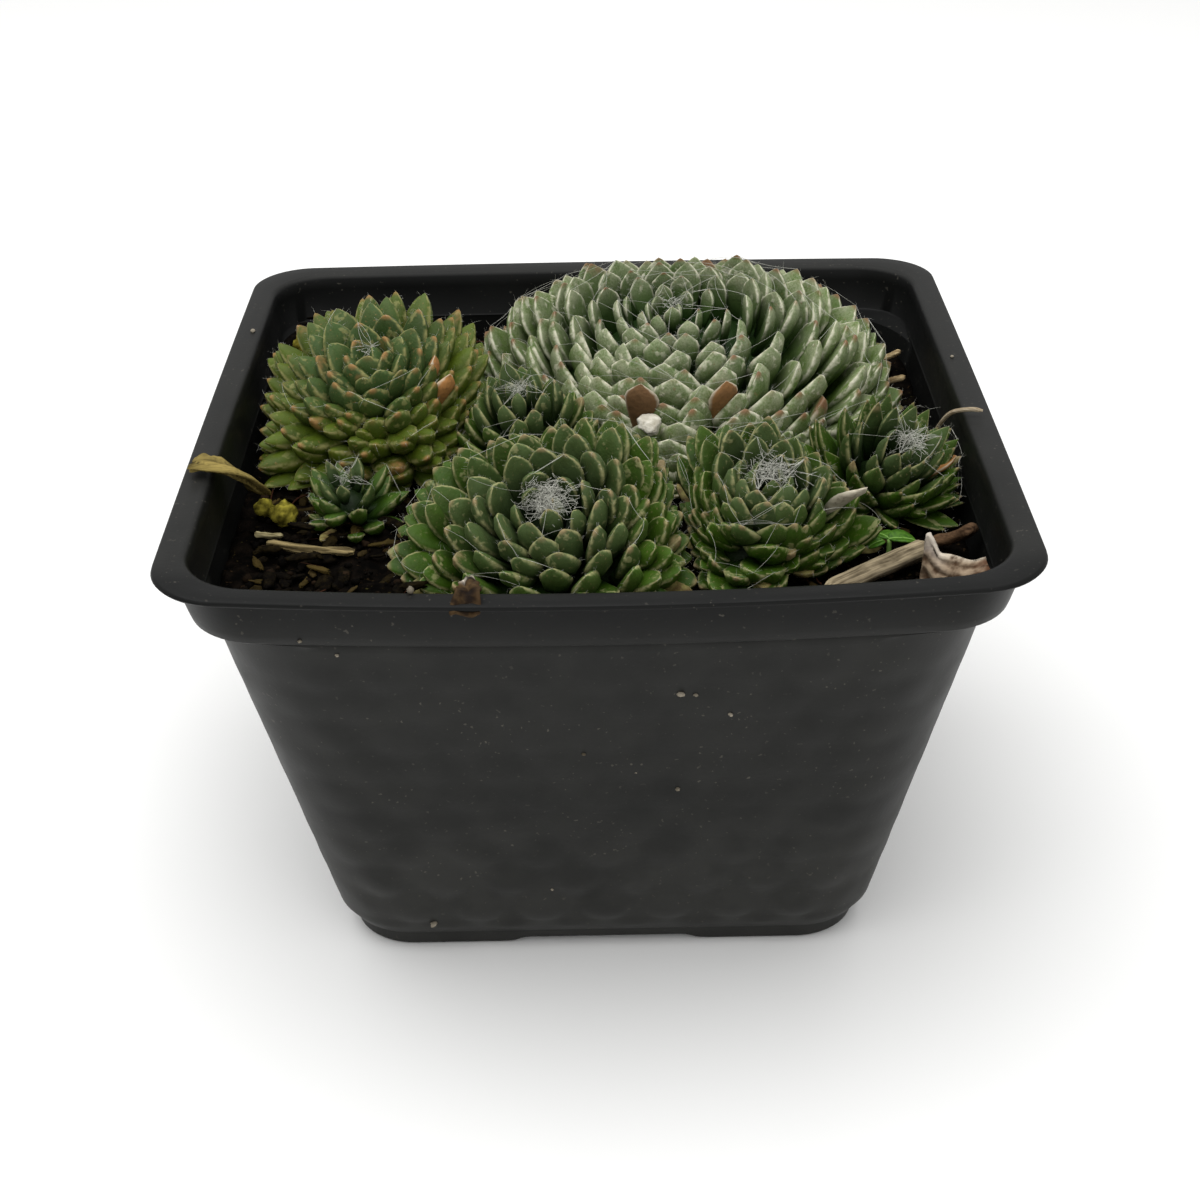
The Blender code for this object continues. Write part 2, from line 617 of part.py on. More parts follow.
def sheet(name, surface, place_at, columns, rows, thick):
    """A thin closed sheet over a grid; place_at gives a point for shares across and along."""
    def grid_point(column, row):
        return place_at(column / columns, row / rows)

    points = []
    for side in (1, -1):
        for row in range(rows + 1):
            for column in range(columns + 1):
                wide = grid_point(min(columns, column + 1), row) - grid_point(max(0, column - 1), row)
                long = grid_point(column, min(rows, row + 1)) - grid_point(column, max(0, row - 1))
                points.append(grid_point(column, row) + wide.cross(long).normalized() * thick / 2 * side)
    width = columns + 1
    back = width * (rows + 1)
    faces = []
    for row in range(rows):
        for column in range(columns):
            first = row * width + column
            faces.append((first, first + 1, first + width + 1, first + width))
            faces.append((back + first, back + first + width, back + first + width + 1, back + first + 1))
    edge = [column for column in range(columns)]
    edge += [row * width + columns for row in range(rows)]
    edge += [rows * width + column for column in range(columns, 0, -1)]
    edge += [row * width for row in range(rows, 0, -1)]
    for number, first in enumerate(edge):
        after = edge[(number + 1) % len(edge)]
        faces.append((first, back + first, back + after, after))
    return recalculated(add_object(name, points, faces, surface))


def build_curled_leaf(surface):
    """A dry leaf standing on its edge, high at its left end and curled round towards the front."""
    high, low = CURL_HEIGHTS

    def place_at(across, up):
        foot = Vector(CURL_PLACE) + Vector(CURL_SPAN) * across
        height = low + (high - low) * (1 - across) ** 1.5
        bend = 0.0011 * math.cos(math.pi * across) - 0.0009 * math.sin(math.pi * across)
        lean = 0.0012 * up * up + bend * (1 - 0.4 * up)
        slip = 0.0006 * up * (1 - 2 * across)
        return foot + Vector((slip, lean, 0.0001 + height * up))

    return sheet("curled_dry_leaf", surface, place_at, 6, 3, CURL_THICK)


def build_scrap(surface):
    """A crumpled scrap of dead leaf lying on the flat of the front rim."""
    x, y = SCRAP_PLACE
    half_x, half_y = SCRAP_HALF

    def place_at(across, along):
        crumple = 0.0002 * (1 + math.sin(7 * across + 4 * along))
        taper = 1 - 0.5 * along
        return Vector((x + half_x * (2 * across - 1) * taper, y + half_y * (2 * along - 1),
                       RIM_Z + GAP + SCRAP_THICK / 2 + 0.00005 + crumple))

    return sheet("leaf_scrap", surface, place_at, 3, 3, SCRAP_THICK)


def build_seedling(surface):
    """A stem in its plain hole in the soil with three round leaflets on top."""
    x, y = SEEDLING_PLACE
    stem = loft("seedling", [disc(x, y, z, SEEDLING_STEM, 6) for z in (SEEDLING_FOOT, SEEDLING_TOP)], surface)
    leaflets = []
    for distance, turn, radius in SEEDLING_LEAFLETS:
        way = Vector((math.cos(math.radians(turn)), math.sin(math.radians(turn)), 0))
        middle = Vector((x, y, SEEDLING_TOP)) + way * distance
        tilt = Matrix.Rotation(-0.35, 3, Vector((0, 0, 1)).cross(way))
        loops = [[middle + Vector((0, 0, level)) + tilt @ point for point in disc(0, 0, 0, radius, 8)]
                 for level in (-0.00035, 0.00035)]
        middle_stalk = distance - radius
        if middle_stalk > 0:
            loops = [[point - way * middle_stalk * 0.9 for point in loop] for loop in loops]
        leaflets.append(loft("leaflet", loops))
    combine(stem, leaflets, "UNION")
    return stem


def clear_scene():
    for thing in list(bpy.data.objects):
        bpy.data.objects.remove(thing, do_unlink=True)


def main():
    clear_scene()
    finishes = {name: finish(name, colour, roughness) for name, colour, roughness in FINISHES}
    build_pot(finishes["black_plastic"])
    build_soil(finishes["dark_soil"])
    for spec in ROSETTES:
        build_rosette(spec, finishes[spec.get("finish", "leaf_green")])
    for spec in BARS:
        build_bar(spec, finishes[spec["finish"]])
    for spec in LUMPS:
        build_lump(spec, finishes[spec["finish"]])
    build_curled_leaf(finishes["dry_leaf"])
    build_scrap(finishes["brown_bark"])
    build_seedling(finishes["seedling_green"])


main()
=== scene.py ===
"""Looks of the potted cobweb houseleek: a thin black nursery pot, peat soil, seven rosettes of
fleshy leaves with their cobweb threads, and the dry bits that lie among them.

Metres, +Z up, origin on the ground under the middle of the pot, front at -Y.
"""

import json
import math

import bpy
import numpy as np
from mathutils import Matrix

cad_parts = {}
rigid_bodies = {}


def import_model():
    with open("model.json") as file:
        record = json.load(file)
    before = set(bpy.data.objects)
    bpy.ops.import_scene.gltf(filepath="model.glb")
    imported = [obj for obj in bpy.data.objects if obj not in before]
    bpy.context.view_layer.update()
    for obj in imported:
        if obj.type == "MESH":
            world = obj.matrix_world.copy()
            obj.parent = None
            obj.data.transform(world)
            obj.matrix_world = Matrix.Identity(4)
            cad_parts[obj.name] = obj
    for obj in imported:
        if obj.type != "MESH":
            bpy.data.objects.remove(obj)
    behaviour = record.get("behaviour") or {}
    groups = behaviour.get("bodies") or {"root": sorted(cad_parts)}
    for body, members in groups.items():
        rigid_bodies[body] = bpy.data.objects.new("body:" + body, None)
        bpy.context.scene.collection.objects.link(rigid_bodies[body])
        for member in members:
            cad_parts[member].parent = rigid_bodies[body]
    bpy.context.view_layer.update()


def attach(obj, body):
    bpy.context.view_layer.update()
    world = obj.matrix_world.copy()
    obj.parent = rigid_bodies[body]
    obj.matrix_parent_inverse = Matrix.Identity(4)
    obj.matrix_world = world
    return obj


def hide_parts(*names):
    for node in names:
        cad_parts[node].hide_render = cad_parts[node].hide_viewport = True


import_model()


# Nursery pot
# A square growing pot pressed from one thin sheet of black plastic: flat flange, collar whose
# ledge shows at the corners, tapered wall with a low lattice of bumps, foot with two channels.

RIM_Z = 0.0560
RIM_HALF = 0.0450
RIM_CORNER = 0.0070
RIM_WIDTH = 0.0030
RIM_LIP = 0.0007
COLLAR_HEIGHT = 0.0060
COLLAR_TOP_HALF = 0.0434
COLLAR_FOOT_HALF = 0.0421
COLLAR_CORNER = 0.0070
BODY_CORNER_TOP = 0.0140
BODY_CORNER_FOOT = 0.0085
BODY_FOOT_HALF = 0.0312
BODY_FOOT_Z = 0.0026
TAPER = 0.2306
WALL = 0.0008
FOOT_HALF = 0.0298
FOOT_Z = 0.0022
FLOOR_UNDER_Z = 0.0008
FLOOR_Z = 0.0022
ARCH_WIDTH = 0.0240
ARCH_SLOPE = 0.0030
DRAIN_RADIUS = 0.0025
DRAIN_SPREAD = 0.0168
FRONT_BOW = 0.0029
FRONT_OUT = 0.0001
BACK_BOW = 0.0007
SIDE_BOW = 0.0002
CENTRING = (FRONT_BOW + FRONT_OUT - BACK_BOW) / 2
LEDGE_Z = RIM_Z - COLLAR_HEIGHT - RIM_LIP
CORNER_STEPS = 14
SIDE_STEPS = 76
WALL_ROWS = 66
INSIDE_ROWS = 20
BUMP_PITCH = 0.0072
BUMP_ROW = 0.0047
BUMP_HALF = (0.0030, 0.0024)
BUMP_HEIGHT = 0.00080
FOOT_RINGS = 15
DRAIN_SIDES = 24
DRILL_SPARE = 0.0010
SHARP_ANGLE = math.radians(48)


def smooth(low, high, value):
    """Smoothstep: 0 at low, 1 at high, and 3s^2 - 2s^3 between them."""
    share = np.clip((value - low) / (high - low), 0.0, 1.0)
    return share * share * (3.0 - 2.0 * share)


def body_half(z):
    """Half width of the tapered wall's outside at a height."""
    return BODY_FOOT_HALF + TAPER * (z - BODY_FOOT_Z)


def inner_corner(z):
    """Corner radius inside the wall, growing evenly from the floor to the ledge."""
    share = (z - FLOOR_Z) / (RIM_Z - COLLAR_HEIGHT - FLOOR_Z)
    return BODY_CORNER_FOOT - WALL + (BODY_CORNER_TOP - BODY_CORNER_FOOT) * share


def outline(half, corner, z):
    """Points round a square at one height, counter-clockwise from above: a quarter arc and a
    straight side, turned four times, then each side bowed outwards by a parabola."""
    arc = np.linspace(0.0, np.pi / 2, CORNER_STEPS + 1)
    side = np.linspace(1.0, -1.0, SIDE_STEPS + 1)[1:-1] * (half - corner)
    quarter = np.concatenate([
        np.stack([half - corner + corner * np.cos(arc), half - corner + corner * np.sin(arc)], 1),
        np.stack([side, np.full(len(side), half)], 1)])
    quarters = [quarter]
    for _ in range(3):
        quarters.append(np.stack([-quarters[-1][:, 1], quarters[-1][:, 0]], 1))
    x, y = np.concatenate(quarters).T
    bow = (z / RIM_Z) ** 2
    front_back = np.where(y < 0, FRONT_BOW, BACK_BOW)
    out = np.where(y < 0, FRONT_OUT, 0.0)
    x_push = SIDE_BOW * bow * (1 - np.minimum(1, np.abs(y) / half) ** 2) * x / half
    y_push = (front_back * (1 - np.minimum(1, np.abs(x) / half) ** 2) + out) * bow * y / half
    return np.stack([x + x_push, y + y_push + CENTRING, np.full(len(x), z)], 1)


def closed_faces(rows, around, copies=1):
    """Faces of forms made of rings and two end points: quads between rings, a fan at each end.
    Each copy holds its ring points first, then the first and the last end point."""
    ring = np.arange(around)
    after = (ring + 1) % around
    low = (np.arange(rows - 1) * around)[:, None]
    quads = np.stack([low + ring, low + after, low + around + after, low + around + ring], -1)
    top = (rows - 1) * around
    first = np.full(around, rows * around)
    fans = np.stack([np.stack([after, ring, first], -1), np.stack([top + ring, top + after, first + 1], -1)])
    step = (np.arange(copies) * (rows * around + 2))[:, None, None]
    quads = (quads.reshape(-1, 4) + step).reshape(-1, 4)
    fans = (fans.reshape(-1, 3) + step).reshape(-1, 3)
    return quads.tolist() + fans.tolist()


def with_ends(rings, ends=None):
    """Ring points of each copy followed by its two end points, by default the end rings' middles."""
    if ends is None:
        ends = np.stack([rings[:, 0].mean(1), rings[:, -1].mean(1)], 1)
    return np.concatenate([rings.reshape(len(rings), -1, 3), ends], 1)


def add_mesh(name, points, faces, surface, **values):
    """A smooth-shaded mesh object, with one number for each point under each given word."""
    mesh = bpy.data.meshes.new(name)
    mesh.from_pydata(points.reshape(-1, 3).tolist(), [], faces)
    mesh.polygons.foreach_set("use_smooth", np.ones(len(mesh.polygons), bool))
    for word, value in values.items():
        numbers = np.ravel(value).astype(np.float32)
        mesh.attributes.new(word, "FLOAT", "POINT").data.foreach_set("value", numbers)
    mesh.materials.append(surface)
    piece = bpy.data.objects.new(name, mesh)
    bpy.context.scene.collection.objects.link(piece)
    return piece


class Link:
    """An output socket in an expression: each operator adds a Math node and gives its output."""

    def __init__(self, paint, socket):
        self.paint = paint
        self.socket = socket

    def maths(self, operation, *values):
        return self.paint.node("ShaderNodeMath", {"operation": operation}, dict(enumerate(values)))

    def __add__(self, other):
        return self.maths("ADD", self, other)

    def __radd__(self, other):
        return self.maths("ADD", other, self)

    def __sub__(self, other):
        return self.maths("SUBTRACT", self, other)

    def __rsub__(self, other):
        return self.maths("SUBTRACT", other, self)

    def __mul__(self, other):
        return self.maths("MULTIPLY", self, other)

    def __rmul__(self, other):
        return self.maths("MULTIPLY", other, self)

    def larger(self, other):
        return self.maths("MAXIMUM", self, other)

    def ramp(self, low, high):
        """Smoothstep from 0, where the value is low, to 1, where it is high."""
        return self.paint.node("ShaderNodeMapRange", {"interpolation_type": "SMOOTHSTEP"},
                               {"Value": self, "From Min": low, "From Max": high})


def rgba(colour):
    """A colour for a Mix node: a link as it is, or three numbers with a fourth of 1."""
    return colour if isinstance(colour, Link) else (*colour, 1.0)


class Paint:
    """A Principled material; node() adds any node from its type, settings and socket values."""

    def __init__(self, name, constants):
        self.material = bpy.data.materials.new(name)
        self.material.use_nodes = True
        self.tree = self.material.node_tree
        self.shader = self.tree.nodes["Principled BSDF"]
        self.fill(self.shader, constants)
        self.place = self.node("ShaderNodeTexCoord", output="Object")

    def fill(self, made, values):
        for key, value in values.items():
            if isinstance(value, Link):
                self.tree.links.new(value.socket, made.inputs[key])
            else:
                made.inputs[key].default_value = value

    def node(self, kind, settings=None, values=None, output=0):
        made = self.tree.nodes.new(kind)
        for setting, value in (settings or {}).items():
            setattr(made, setting, value)
        self.fill(made, values or {})
        return Link(self, made.outputs[output])

    def noise(self, grain, detail, place=None):
        """Soft noise from 0 to 1 whose lumps are about grain metres across."""
        return self.node("ShaderNodeTexNoise", {}, {"Vector": place or self.place, "Scale": 1 / grain,
                                                    "Detail": detail})

    def along_grain(self, turn, long, wide):
        """Coordinates turned about Z onto a fibre's way, long along it and wide across it."""
        return self.node("ShaderNodeMapping", {"vector_type": "TEXTURE"},
                         {"Vector": self.place, "Rotation": (0.0, 0.0, turn), "Scale": (long, wide, wide)})

    def value(self, word):
        """The mesh's own number for each point under a word."""
        return self.node("ShaderNodeAttribute", {"attribute_name": word}, output="Fac")

    def mix(self, factor, first, second):
        """The first colour where the factor is 0 and the second where it is 1."""
        colours = {0: factor, 6: rgba(first), 7: rgba(second)}
        return self.node("ShaderNodeMix", {"data_type": "RGBA"}, colours, 2)

    def finish(self, colour, roughness, height=None, depth=0.0, strength=0.0):
        """Feed colour, roughness and a bump of the given height field, and give the material."""
        self.fill(self.shader, {"Base Color": colour, "Roughness": roughness})
        if height is not None:
            values = {"Height": height, "Distance": depth, "Strength": strength}
            self.fill(self.shader, {"Normal": self.node("ShaderNodeBump", {}, values, "Normal")})
        return self.material


def pressed_plastic():
    """Satin black plastic: faint flow marks, mould grain, a grey film of dried water, and specks of peat
    dust.
    The film is made thicker round the foot as a painted reflection of the pale floor, and is left off inside
    the pot and on the front of the collar and flange as painted shade."""
    paint = Paint("pressed_plastic", {"Specular IOR Level": 0.11})
    flow = paint.noise(0.012, 3.0)
    grain = paint.noise(0.0005, 2.0)
    film = paint.noise(0.006, 4.0).ramp(0.25, 0.85)
    specks = paint.noise(0.00055, 1.0).ramp(0.70, 0.76)
    colour = paint.mix(flow, (0.0036, 0.0038, 0.0037), (0.0066, 0.0069, 0.0066))
    # The grey film's amount carries painted light: more at the foot as painted floor reflection, none inside
    # the pot and on the front of the collar and flange as painted shade.
    colour = paint.mix((0.45 + film * 0.55) * paint.value("dulled"), colour, (0.027, 0.027, 0.025))
    colour = paint.mix(specks * film * 0.6, colour, (0.12, 0.11, 0.09))
    roughness = 0.36 + flow * 0.10 + film * 0.14
    return paint.finish(colour, roughness, grain + flow * 2.0, 0.00004, 0.22)


def lattice_bumps(points):
    """Outward push of rows of low round bumps, 1 - s^2 - t^2 high, each row half a pitch on from
    the last, clearest near the foot and fading up the wall, towards the corners and at the sides."""
    x, y, z = points[..., 0], points[..., 1] - CENTRING, points[..., 2]
    on_side = np.abs(x) > np.abs(y)
    along = np.where(on_side, y, x)
    row = np.floor(z / BUMP_ROW)
    across = ((along / BUMP_PITCH + 0.5 * (row % 2)) % 1 - 0.5) * BUMP_PITCH / BUMP_HALF[0]
    up = ((z / BUMP_ROW) % 1 - 0.5) * BUMP_ROW / BUMP_HALF[1]
    dome = np.clip(1 - across ** 2 - up ** 2, 0, 1)
    half = body_half(z)
    fade = (0.30 + 0.70 * smooth(0.022, 0.006, z)) * smooth(0.97, 0.72, np.abs(along) / half)
    fade = fade * np.where(on_side, 0.2, 1.0) * smooth(0.0034, 0.0050, z)
    fade = fade * smooth(LEDGE_Z - 0.001, LEDGE_Z - 0.006, z)
    way = np.stack([np.where(on_side, np.sign(x), 0.0), np.where(on_side, 0.0, np.sign(y)), 0.0 * z], -1)
    return way * (BUMP_HEIGHT * dome * fade)[..., None]


def channels(x, y):
    """Height of the two crossing channels under the foot, with sloped sides."""
    wide = ARCH_WIDTH / 2
    narrow = wide - ARCH_SLOPE
    return FLOOR_UNDER_Z * np.maximum(smooth(wide, narrow, np.abs(x)), smooth(wide, narrow, np.abs(y)))


def pot_rings():
    """The wall's section as (half width, corner radius, height): under the foot, up the outside,
    over the flange, down the inside and in over the floor."""
    under_rim = RIM_Z - RIM_LIP
    foot = (FOOT_HALF - 0.0005, BODY_CORNER_FOOT - 0.0015)
    shares = (0.05, 0.2, 0.34, 0.46, 0.58, 0.7, 0.8, 0.9, 0.97)
    rings = [(foot[0] * share, foot[1] * share, 0.0) for share in shares]
    rings += [(foot[0], foot[1], 0.0), (FOOT_HALF - 0.0002, BODY_CORNER_FOOT - 0.0012, 0.0003)]
    rings += [(FOOT_HALF, BODY_CORNER_FOOT - 0.0010, FOOT_Z - 0.0002),
              (FOOT_HALF + 0.0002, BODY_CORNER_FOOT - 0.0009, FOOT_Z),
              (FOOT_HALF + 0.0007, BODY_CORNER_FOOT - 0.0006, FOOT_Z + 0.0003),
              (body_half(BODY_FOOT_Z) - 0.0003, BODY_CORNER_FOOT - 0.0003, BODY_FOOT_Z + 0.0006)]
    for z in np.linspace(BODY_FOOT_Z + 0.0016, LEDGE_Z - 0.0004, WALL_ROWS):
        share = (z - BODY_FOOT_Z) / (LEDGE_Z - BODY_FOOT_Z)
        rings.append((body_half(z), BODY_CORNER_FOOT + (BODY_CORNER_TOP - BODY_CORNER_FOOT) * share, z))
    rings += [(COLLAR_FOOT_HALF - 0.0003, COLLAR_CORNER + 0.0001, LEDGE_Z - 0.0001),
              (COLLAR_FOOT_HALF, COLLAR_CORNER, LEDGE_Z + 0.0002)]
    for share in (0.2, 0.4, 0.6, 0.8, 0.95):
        half = COLLAR_FOOT_HALF + (COLLAR_TOP_HALF - COLLAR_FOOT_HALF) * share
        rings.append((half, COLLAR_CORNER, LEDGE_Z + (under_rim - LEDGE_Z) * share))
    rings += [(COLLAR_TOP_HALF + 0.0003, COLLAR_CORNER, under_rim - 0.0001),
              (RIM_HALF - 0.0003, RIM_CORNER, under_rim),
              (RIM_HALF - 0.0001, RIM_CORNER, under_rim + 0.0001),
              (RIM_HALF, RIM_CORNER, under_rim + 0.0003),
              (RIM_HALF - 0.0001, RIM_CORNER, RIM_Z - 0.0001),
              (RIM_HALF - 0.0003, RIM_CORNER, RIM_Z),
              (RIM_HALF - 0.0015, RIM_CORNER - 0.0001, RIM_Z - 0.0001),
              (RIM_HALF - RIM_WIDTH + 0.0005, COLLAR_CORNER - 0.0002, RIM_Z - 0.0001),
              (RIM_HALF - RIM_WIDTH + 0.0001, COLLAR_CORNER - 0.0003, RIM_Z - 0.0002),
              (RIM_HALF - RIM_WIDTH - 0.0002, COLLAR_CORNER - 0.0004, RIM_Z - 0.0006),
              (RIM_HALF - RIM_WIDTH - 0.0003, COLLAR_CORNER - WALL, under_rim - 0.0012),
              (COLLAR_FOOT_HALF - WALL + 0.0001, COLLAR_CORNER - WALL, LEDGE_Z + WALL + 0.0002),
              (COLLAR_FOOT_HALF - WALL - 0.0001, COLLAR_CORNER - WALL, LEDGE_Z + WALL),
              (body_half(LEDGE_Z + WALL - 0.0004) - WALL, inner_corner(LEDGE_Z), LEDGE_Z + WALL - 0.0004)]
    for z in np.linspace(LEDGE_Z - 0.006, FLOOR_Z + 0.0024, 8):
        rings.append((body_half(z) - WALL, inner_corner(z), z))
    floor = (body_half(FLOOR_Z) - WALL - 0.0022, inner_corner(FLOOR_Z) - 0.0012)
    rings.append((body_half(FLOOR_Z + 0.0006) - WALL - 0.0008, inner_corner(FLOOR_Z) - 0.0006,
                  FLOOR_Z + 0.0006))
    rings += [(floor[0] * share, floor[1] * share, FLOOR_Z) for share in (1.0, 0.8, 0.6, 0.4, 0.2, 0.05)]
    return rings


def turns_round(count):
    """Angles of evenly spaced points round a circle."""
    return np.arange(count) / count * 2 * np.pi


def drill(piece, places, radius, low, high):
    """Cut round holes through a piece with one Boolean, and put the result in its mesh."""
    turn = turns_round(DRAIN_SIDES)
    group = bpy.data.collections.new("drills")
    for x, y in places:
        circle = [x + radius * np.cos(turn), y + radius * np.sin(turn)]
        rings = np.stack([np.stack([*circle, np.full(DRAIN_SIDES, z)], 1) for z in (low, high)])[None]
        drilled = bpy.data.meshes.new("drill")
        drilled.from_pydata(with_ends(rings).reshape(-1, 3).tolist(), [], closed_faces(2, DRAIN_SIDES))
        group.objects.link(bpy.data.objects.new("drill", drilled))
    bpy.context.scene.collection.children.link(group)
    step = piece.modifiers.new("drain_holes", "BOOLEAN")
    step.operation = "DIFFERENCE"
    step.operand_type = "COLLECTION"
    step.collection = group
    bpy.context.view_layer.update()
    cut = bpy.data.meshes.new_from_object(piece.evaluated_get(bpy.context.evaluated_depsgraph_get()))
    piece.modifiers.clear()
    piece.data = cut
    for cutter in list(group.objects):
        bpy.data.objects.remove(cutter, do_unlink=True)
    bpy.data.collections.remove(group)


rings = np.stack([outline(*ring) for ring in pot_rings()])
rings[..., 2] = np.maximum(rings[..., 2], channels(rings[..., 0], rings[..., 1] - CENTRING))
outer = slice(FOOT_RINGS, FOOT_RINGS + WALL_ROWS)
rings[outer] += lattice_bumps(rings[outer])
# The dried film carries painted light: it is thicker round the foot as a painted reflection of the pale
# floor, and it is taken off the front of the collar and the flange and off the inside rows as painted shade
painted_dark_front = smooth(-0.036, -0.041, rings[..., 1]) * smooth(RIM_Z - 0.0075, RIM_Z - 0.0020, rings[..., 2])
dulled = (0.72 + 0.85 * smooth(0.026, 0.006, rings[..., 2])) * (1 - 0.97 * painted_dark_front)
dulled[-INSIDE_ROWS:] = 0.0
pot = add_mesh("nursery_pot", with_ends(rings[None]), closed_faces(*rings.shape[:2]), pressed_plastic(),
               dulled=np.append(dulled, (1.0, 0.0)))
drill(pot, [(0, 0), (DRAIN_SPREAD, 0), (-DRAIN_SPREAD, 0), (0, DRAIN_SPREAD), (0, -DRAIN_SPREAD)],
      DRAIN_RADIUS, -DRILL_SPARE, FLOOR_Z + DRILL_SPARE)
pot.data.set_sharp_from_angle(angle=SHARP_ANGLE)
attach(pot, "root")
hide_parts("pot")


# Specks on the pot
# Dried peat crumbs and pale grit that watering has splashed on the front wall, the collar and
# the flange. Each is a tiny angular grain stuck to the plastic.

# Places on the front wall as x, z and size, and on top of the flange as x, y and size
SPECKS = [(0.0081, 0.0420, 0.00050), (0.0096, 0.0418, 0.00030), (0.0133, 0.0387, 0.00035),
          (-0.0020, 0.0330, 0.00028), (0.0035, 0.0300, 0.00025), (0.0080, 0.0272, 0.00040),
          (-0.0198, 0.0048, 0.00060), (-0.0145, 0.0074, 0.00045), (-0.0135, 0.0070, 0.00030),
          (-0.0300, 0.0500, 0.00030), (-0.0265, 0.0480, 0.00026), (0.0205, 0.0160, 0.00024),
          (0.0120, 0.0110, 0.00022), (-0.0060, 0.0105, 0.00026), (0.0230, 0.0060, 0.00028)]
FLANGE_FLAKES = [(-0.0185, -0.0432, 0.0006), (-0.0430, 0.0240, 0.0004), (0.0432, 0.0120, 0.0003)]
COLLAR_SLOPE = 0.2


def ball_rings(down, around):
    """Rings of a ball of radius 1, at the given angles from its lowest point."""
    turn = turns_round(around)
    return np.stack([np.sin(down)[:, None] * np.cos(turn), np.sin(down)[:, None] * np.sin(turn),
                     -np.cos(down)[:, None] * np.ones(around)], -1)


BALL_ENDS = np.array([[0, 0, -1.0], [0, 0, 1.0]])


def grain_points(centres, radii, squash, draw, rows=4, around=6):
    """Small angular grains: a ball's rings, each point drawn in or out, squashed and turned."""
    count = len(centres)
    ball = ball_rings((np.arange(rows) + 1) / (rows + 1) * np.pi, around)
    rough = draw.uniform(0.72, 1.18, (count, rows, around, 1))
    ends = BALL_ENDS * draw.uniform(0.75, 1.05, (count, 2, 1))
    shape = with_ends(ball[None] * rough, ends) * np.asarray(squash) * np.asarray(radii)[:, None, None]
    return np.asarray(centres)[:, None, :] + turned(shape, draw.uniform(0, 2 * np.pi, count),
                                                    draw.normal(0, 0.35, count))


def turned(points, about_z, tilt):
    """Each copy's points tilted about X and then turned about Z."""
    x, y, z = points[..., 0], points[..., 1], points[..., 2]
    tilt, about_z = tilt[:, None], about_z[:, None]
    y, z = y * np.cos(tilt) - z * np.sin(tilt), y * np.sin(tilt) + z * np.cos(tilt)
    return np.stack([x * np.cos(about_z) - y * np.sin(about_z),
                     x * np.sin(about_z) + y * np.cos(about_z), z], -1)


def front_wall(x, z):
    """The outside of the pot's front: its y at a place across and a height."""
    half = body_half(z) if z < LEDGE_Z else COLLAR_FOOT_HALF + (z - LEDGE_Z) * COLLAR_SLOPE
    bow = (z / RIM_Z) ** 2
    return CENTRING - half - (FRONT_BOW * (1 - min(1.0, abs(x) / half) ** 2) + FRONT_OUT) * bow


def gritty(name, dark, light, grain=0.0004):
    """Rough mineral or peat: two colours by the grain's own number and a fine noise."""
    paint = Paint(name, {"Specular IOR Level": 0.03})
    fine = paint.noise(grain, 3.0)
    colour = paint.mix((paint.value("tone") * 0.75 + fine * 0.45).ramp(0.15, 1.0), dark, light)
    return paint.finish(colour, 0.85 - fine * 0.15, fine, grain * 0.5, 0.7)


def add_grains(name, points, tones, surface, rows=4, around=6):
    """One mesh of many small closed forms, each with its own tone."""
    piece = add_mesh(name, points, closed_faces(rows, around, len(points)), surface,
                     tone=np.repeat(tones, rows * around + 2))
    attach(piece, "root")


draw = np.random.default_rng(4)
places = [(x, front_wall(x, z) - size * 0.3, z) for x, z, size in SPECKS]
places += [(x, y, RIM_Z + size * 0.15) for x, y, size in FLANGE_FLAKES]
sizes = np.array([size for _, _, size in SPECKS + FLANGE_FLAKES])
tones = draw.uniform(0.1, 1.0, len(sizes))
points = grain_points(places, sizes, (1.0, 0.7, 0.6), draw)
add_grains("pot_specks", points, tones,
           gritty("splashed_grit", (0.05, 0.040, 0.025), (0.26, 0.23, 0.18)))


# Potting soil
# Peat with bark fines that fills the pot to 9 mm under the flange, a little higher at the left
# and banked up at the back left. The surface is crumbly and nearly black where it is damp.

GAP = 0.0003
SOIL_Z = 0.0470
SOIL_LEFT_RISE = 0.0006
SOIL_BANK_RISE = 0.0040
SOIL_BANK = (-0.036, 0.034, 0.020)
SOIL_RINGS = 74
NOISE_CELLS = 23


def soil_height(x, y):
    """Level of the soil: a rise to the left and a round bank at the back left."""
    bank_x, bank_y, bank_size = SOIL_BANK
    rise = SOIL_LEFT_RISE * smooth(0.0, -0.024, x)
    return SOIL_Z + rise + SOIL_BANK_RISE * smooth(bank_size, 0.004, np.hypot(x - bank_x, y - bank_y))


def lumpiness(points, size, seed):
    """Smooth noise from -1 to 1: seeded heights on a cubic lattice, blended by a smoothstep."""
    lattice = np.random.default_rng(seed).uniform(-1, 1, [NOISE_CELLS] * 3)
    cell = points / size
    low = np.floor(cell).astype(int)
    share = cell - low
    share = share * share * (3 - 2 * share)
    total = np.zeros(points.shape[:-1])
    for corner in np.ndindex(2, 2, 2):
        index = (low + corner) % NOISE_CELLS
        weight = np.prod(np.where(np.array(corner) == 1, share, 1 - share), -1)
        total = total + weight * lattice[index[..., 0], index[..., 1], index[..., 2]]
    return total


def damp_peat():
    """Nearly black peat with brown and olive bits, a little glossier where its crumbs stand up."""
    paint = Paint("damp_peat", {"Specular IOR Level": 0.02})
    crumbs = paint.noise(0.0013, 4.0)
    bits = paint.noise(0.0007, 2.0).ramp(0.62, 0.70)
    olive = paint.noise(0.0045, 2.0).ramp(0.55, 0.70)
    colour = paint.mix(crumbs.ramp(0.35, 0.80), (0.0010, 0.0008, 0.0006), (0.0062, 0.0042, 0.0028))
    colour = paint.mix(bits * 0.6, colour, (0.030, 0.018, 0.009))
    colour = paint.mix(olive * bits * 0.7, colour, (0.042, 0.044, 0.010))
    return paint.finish(colour, 0.95 - crumbs * 0.25, crumbs + bits * 0.5, 0.0006, 0.9)


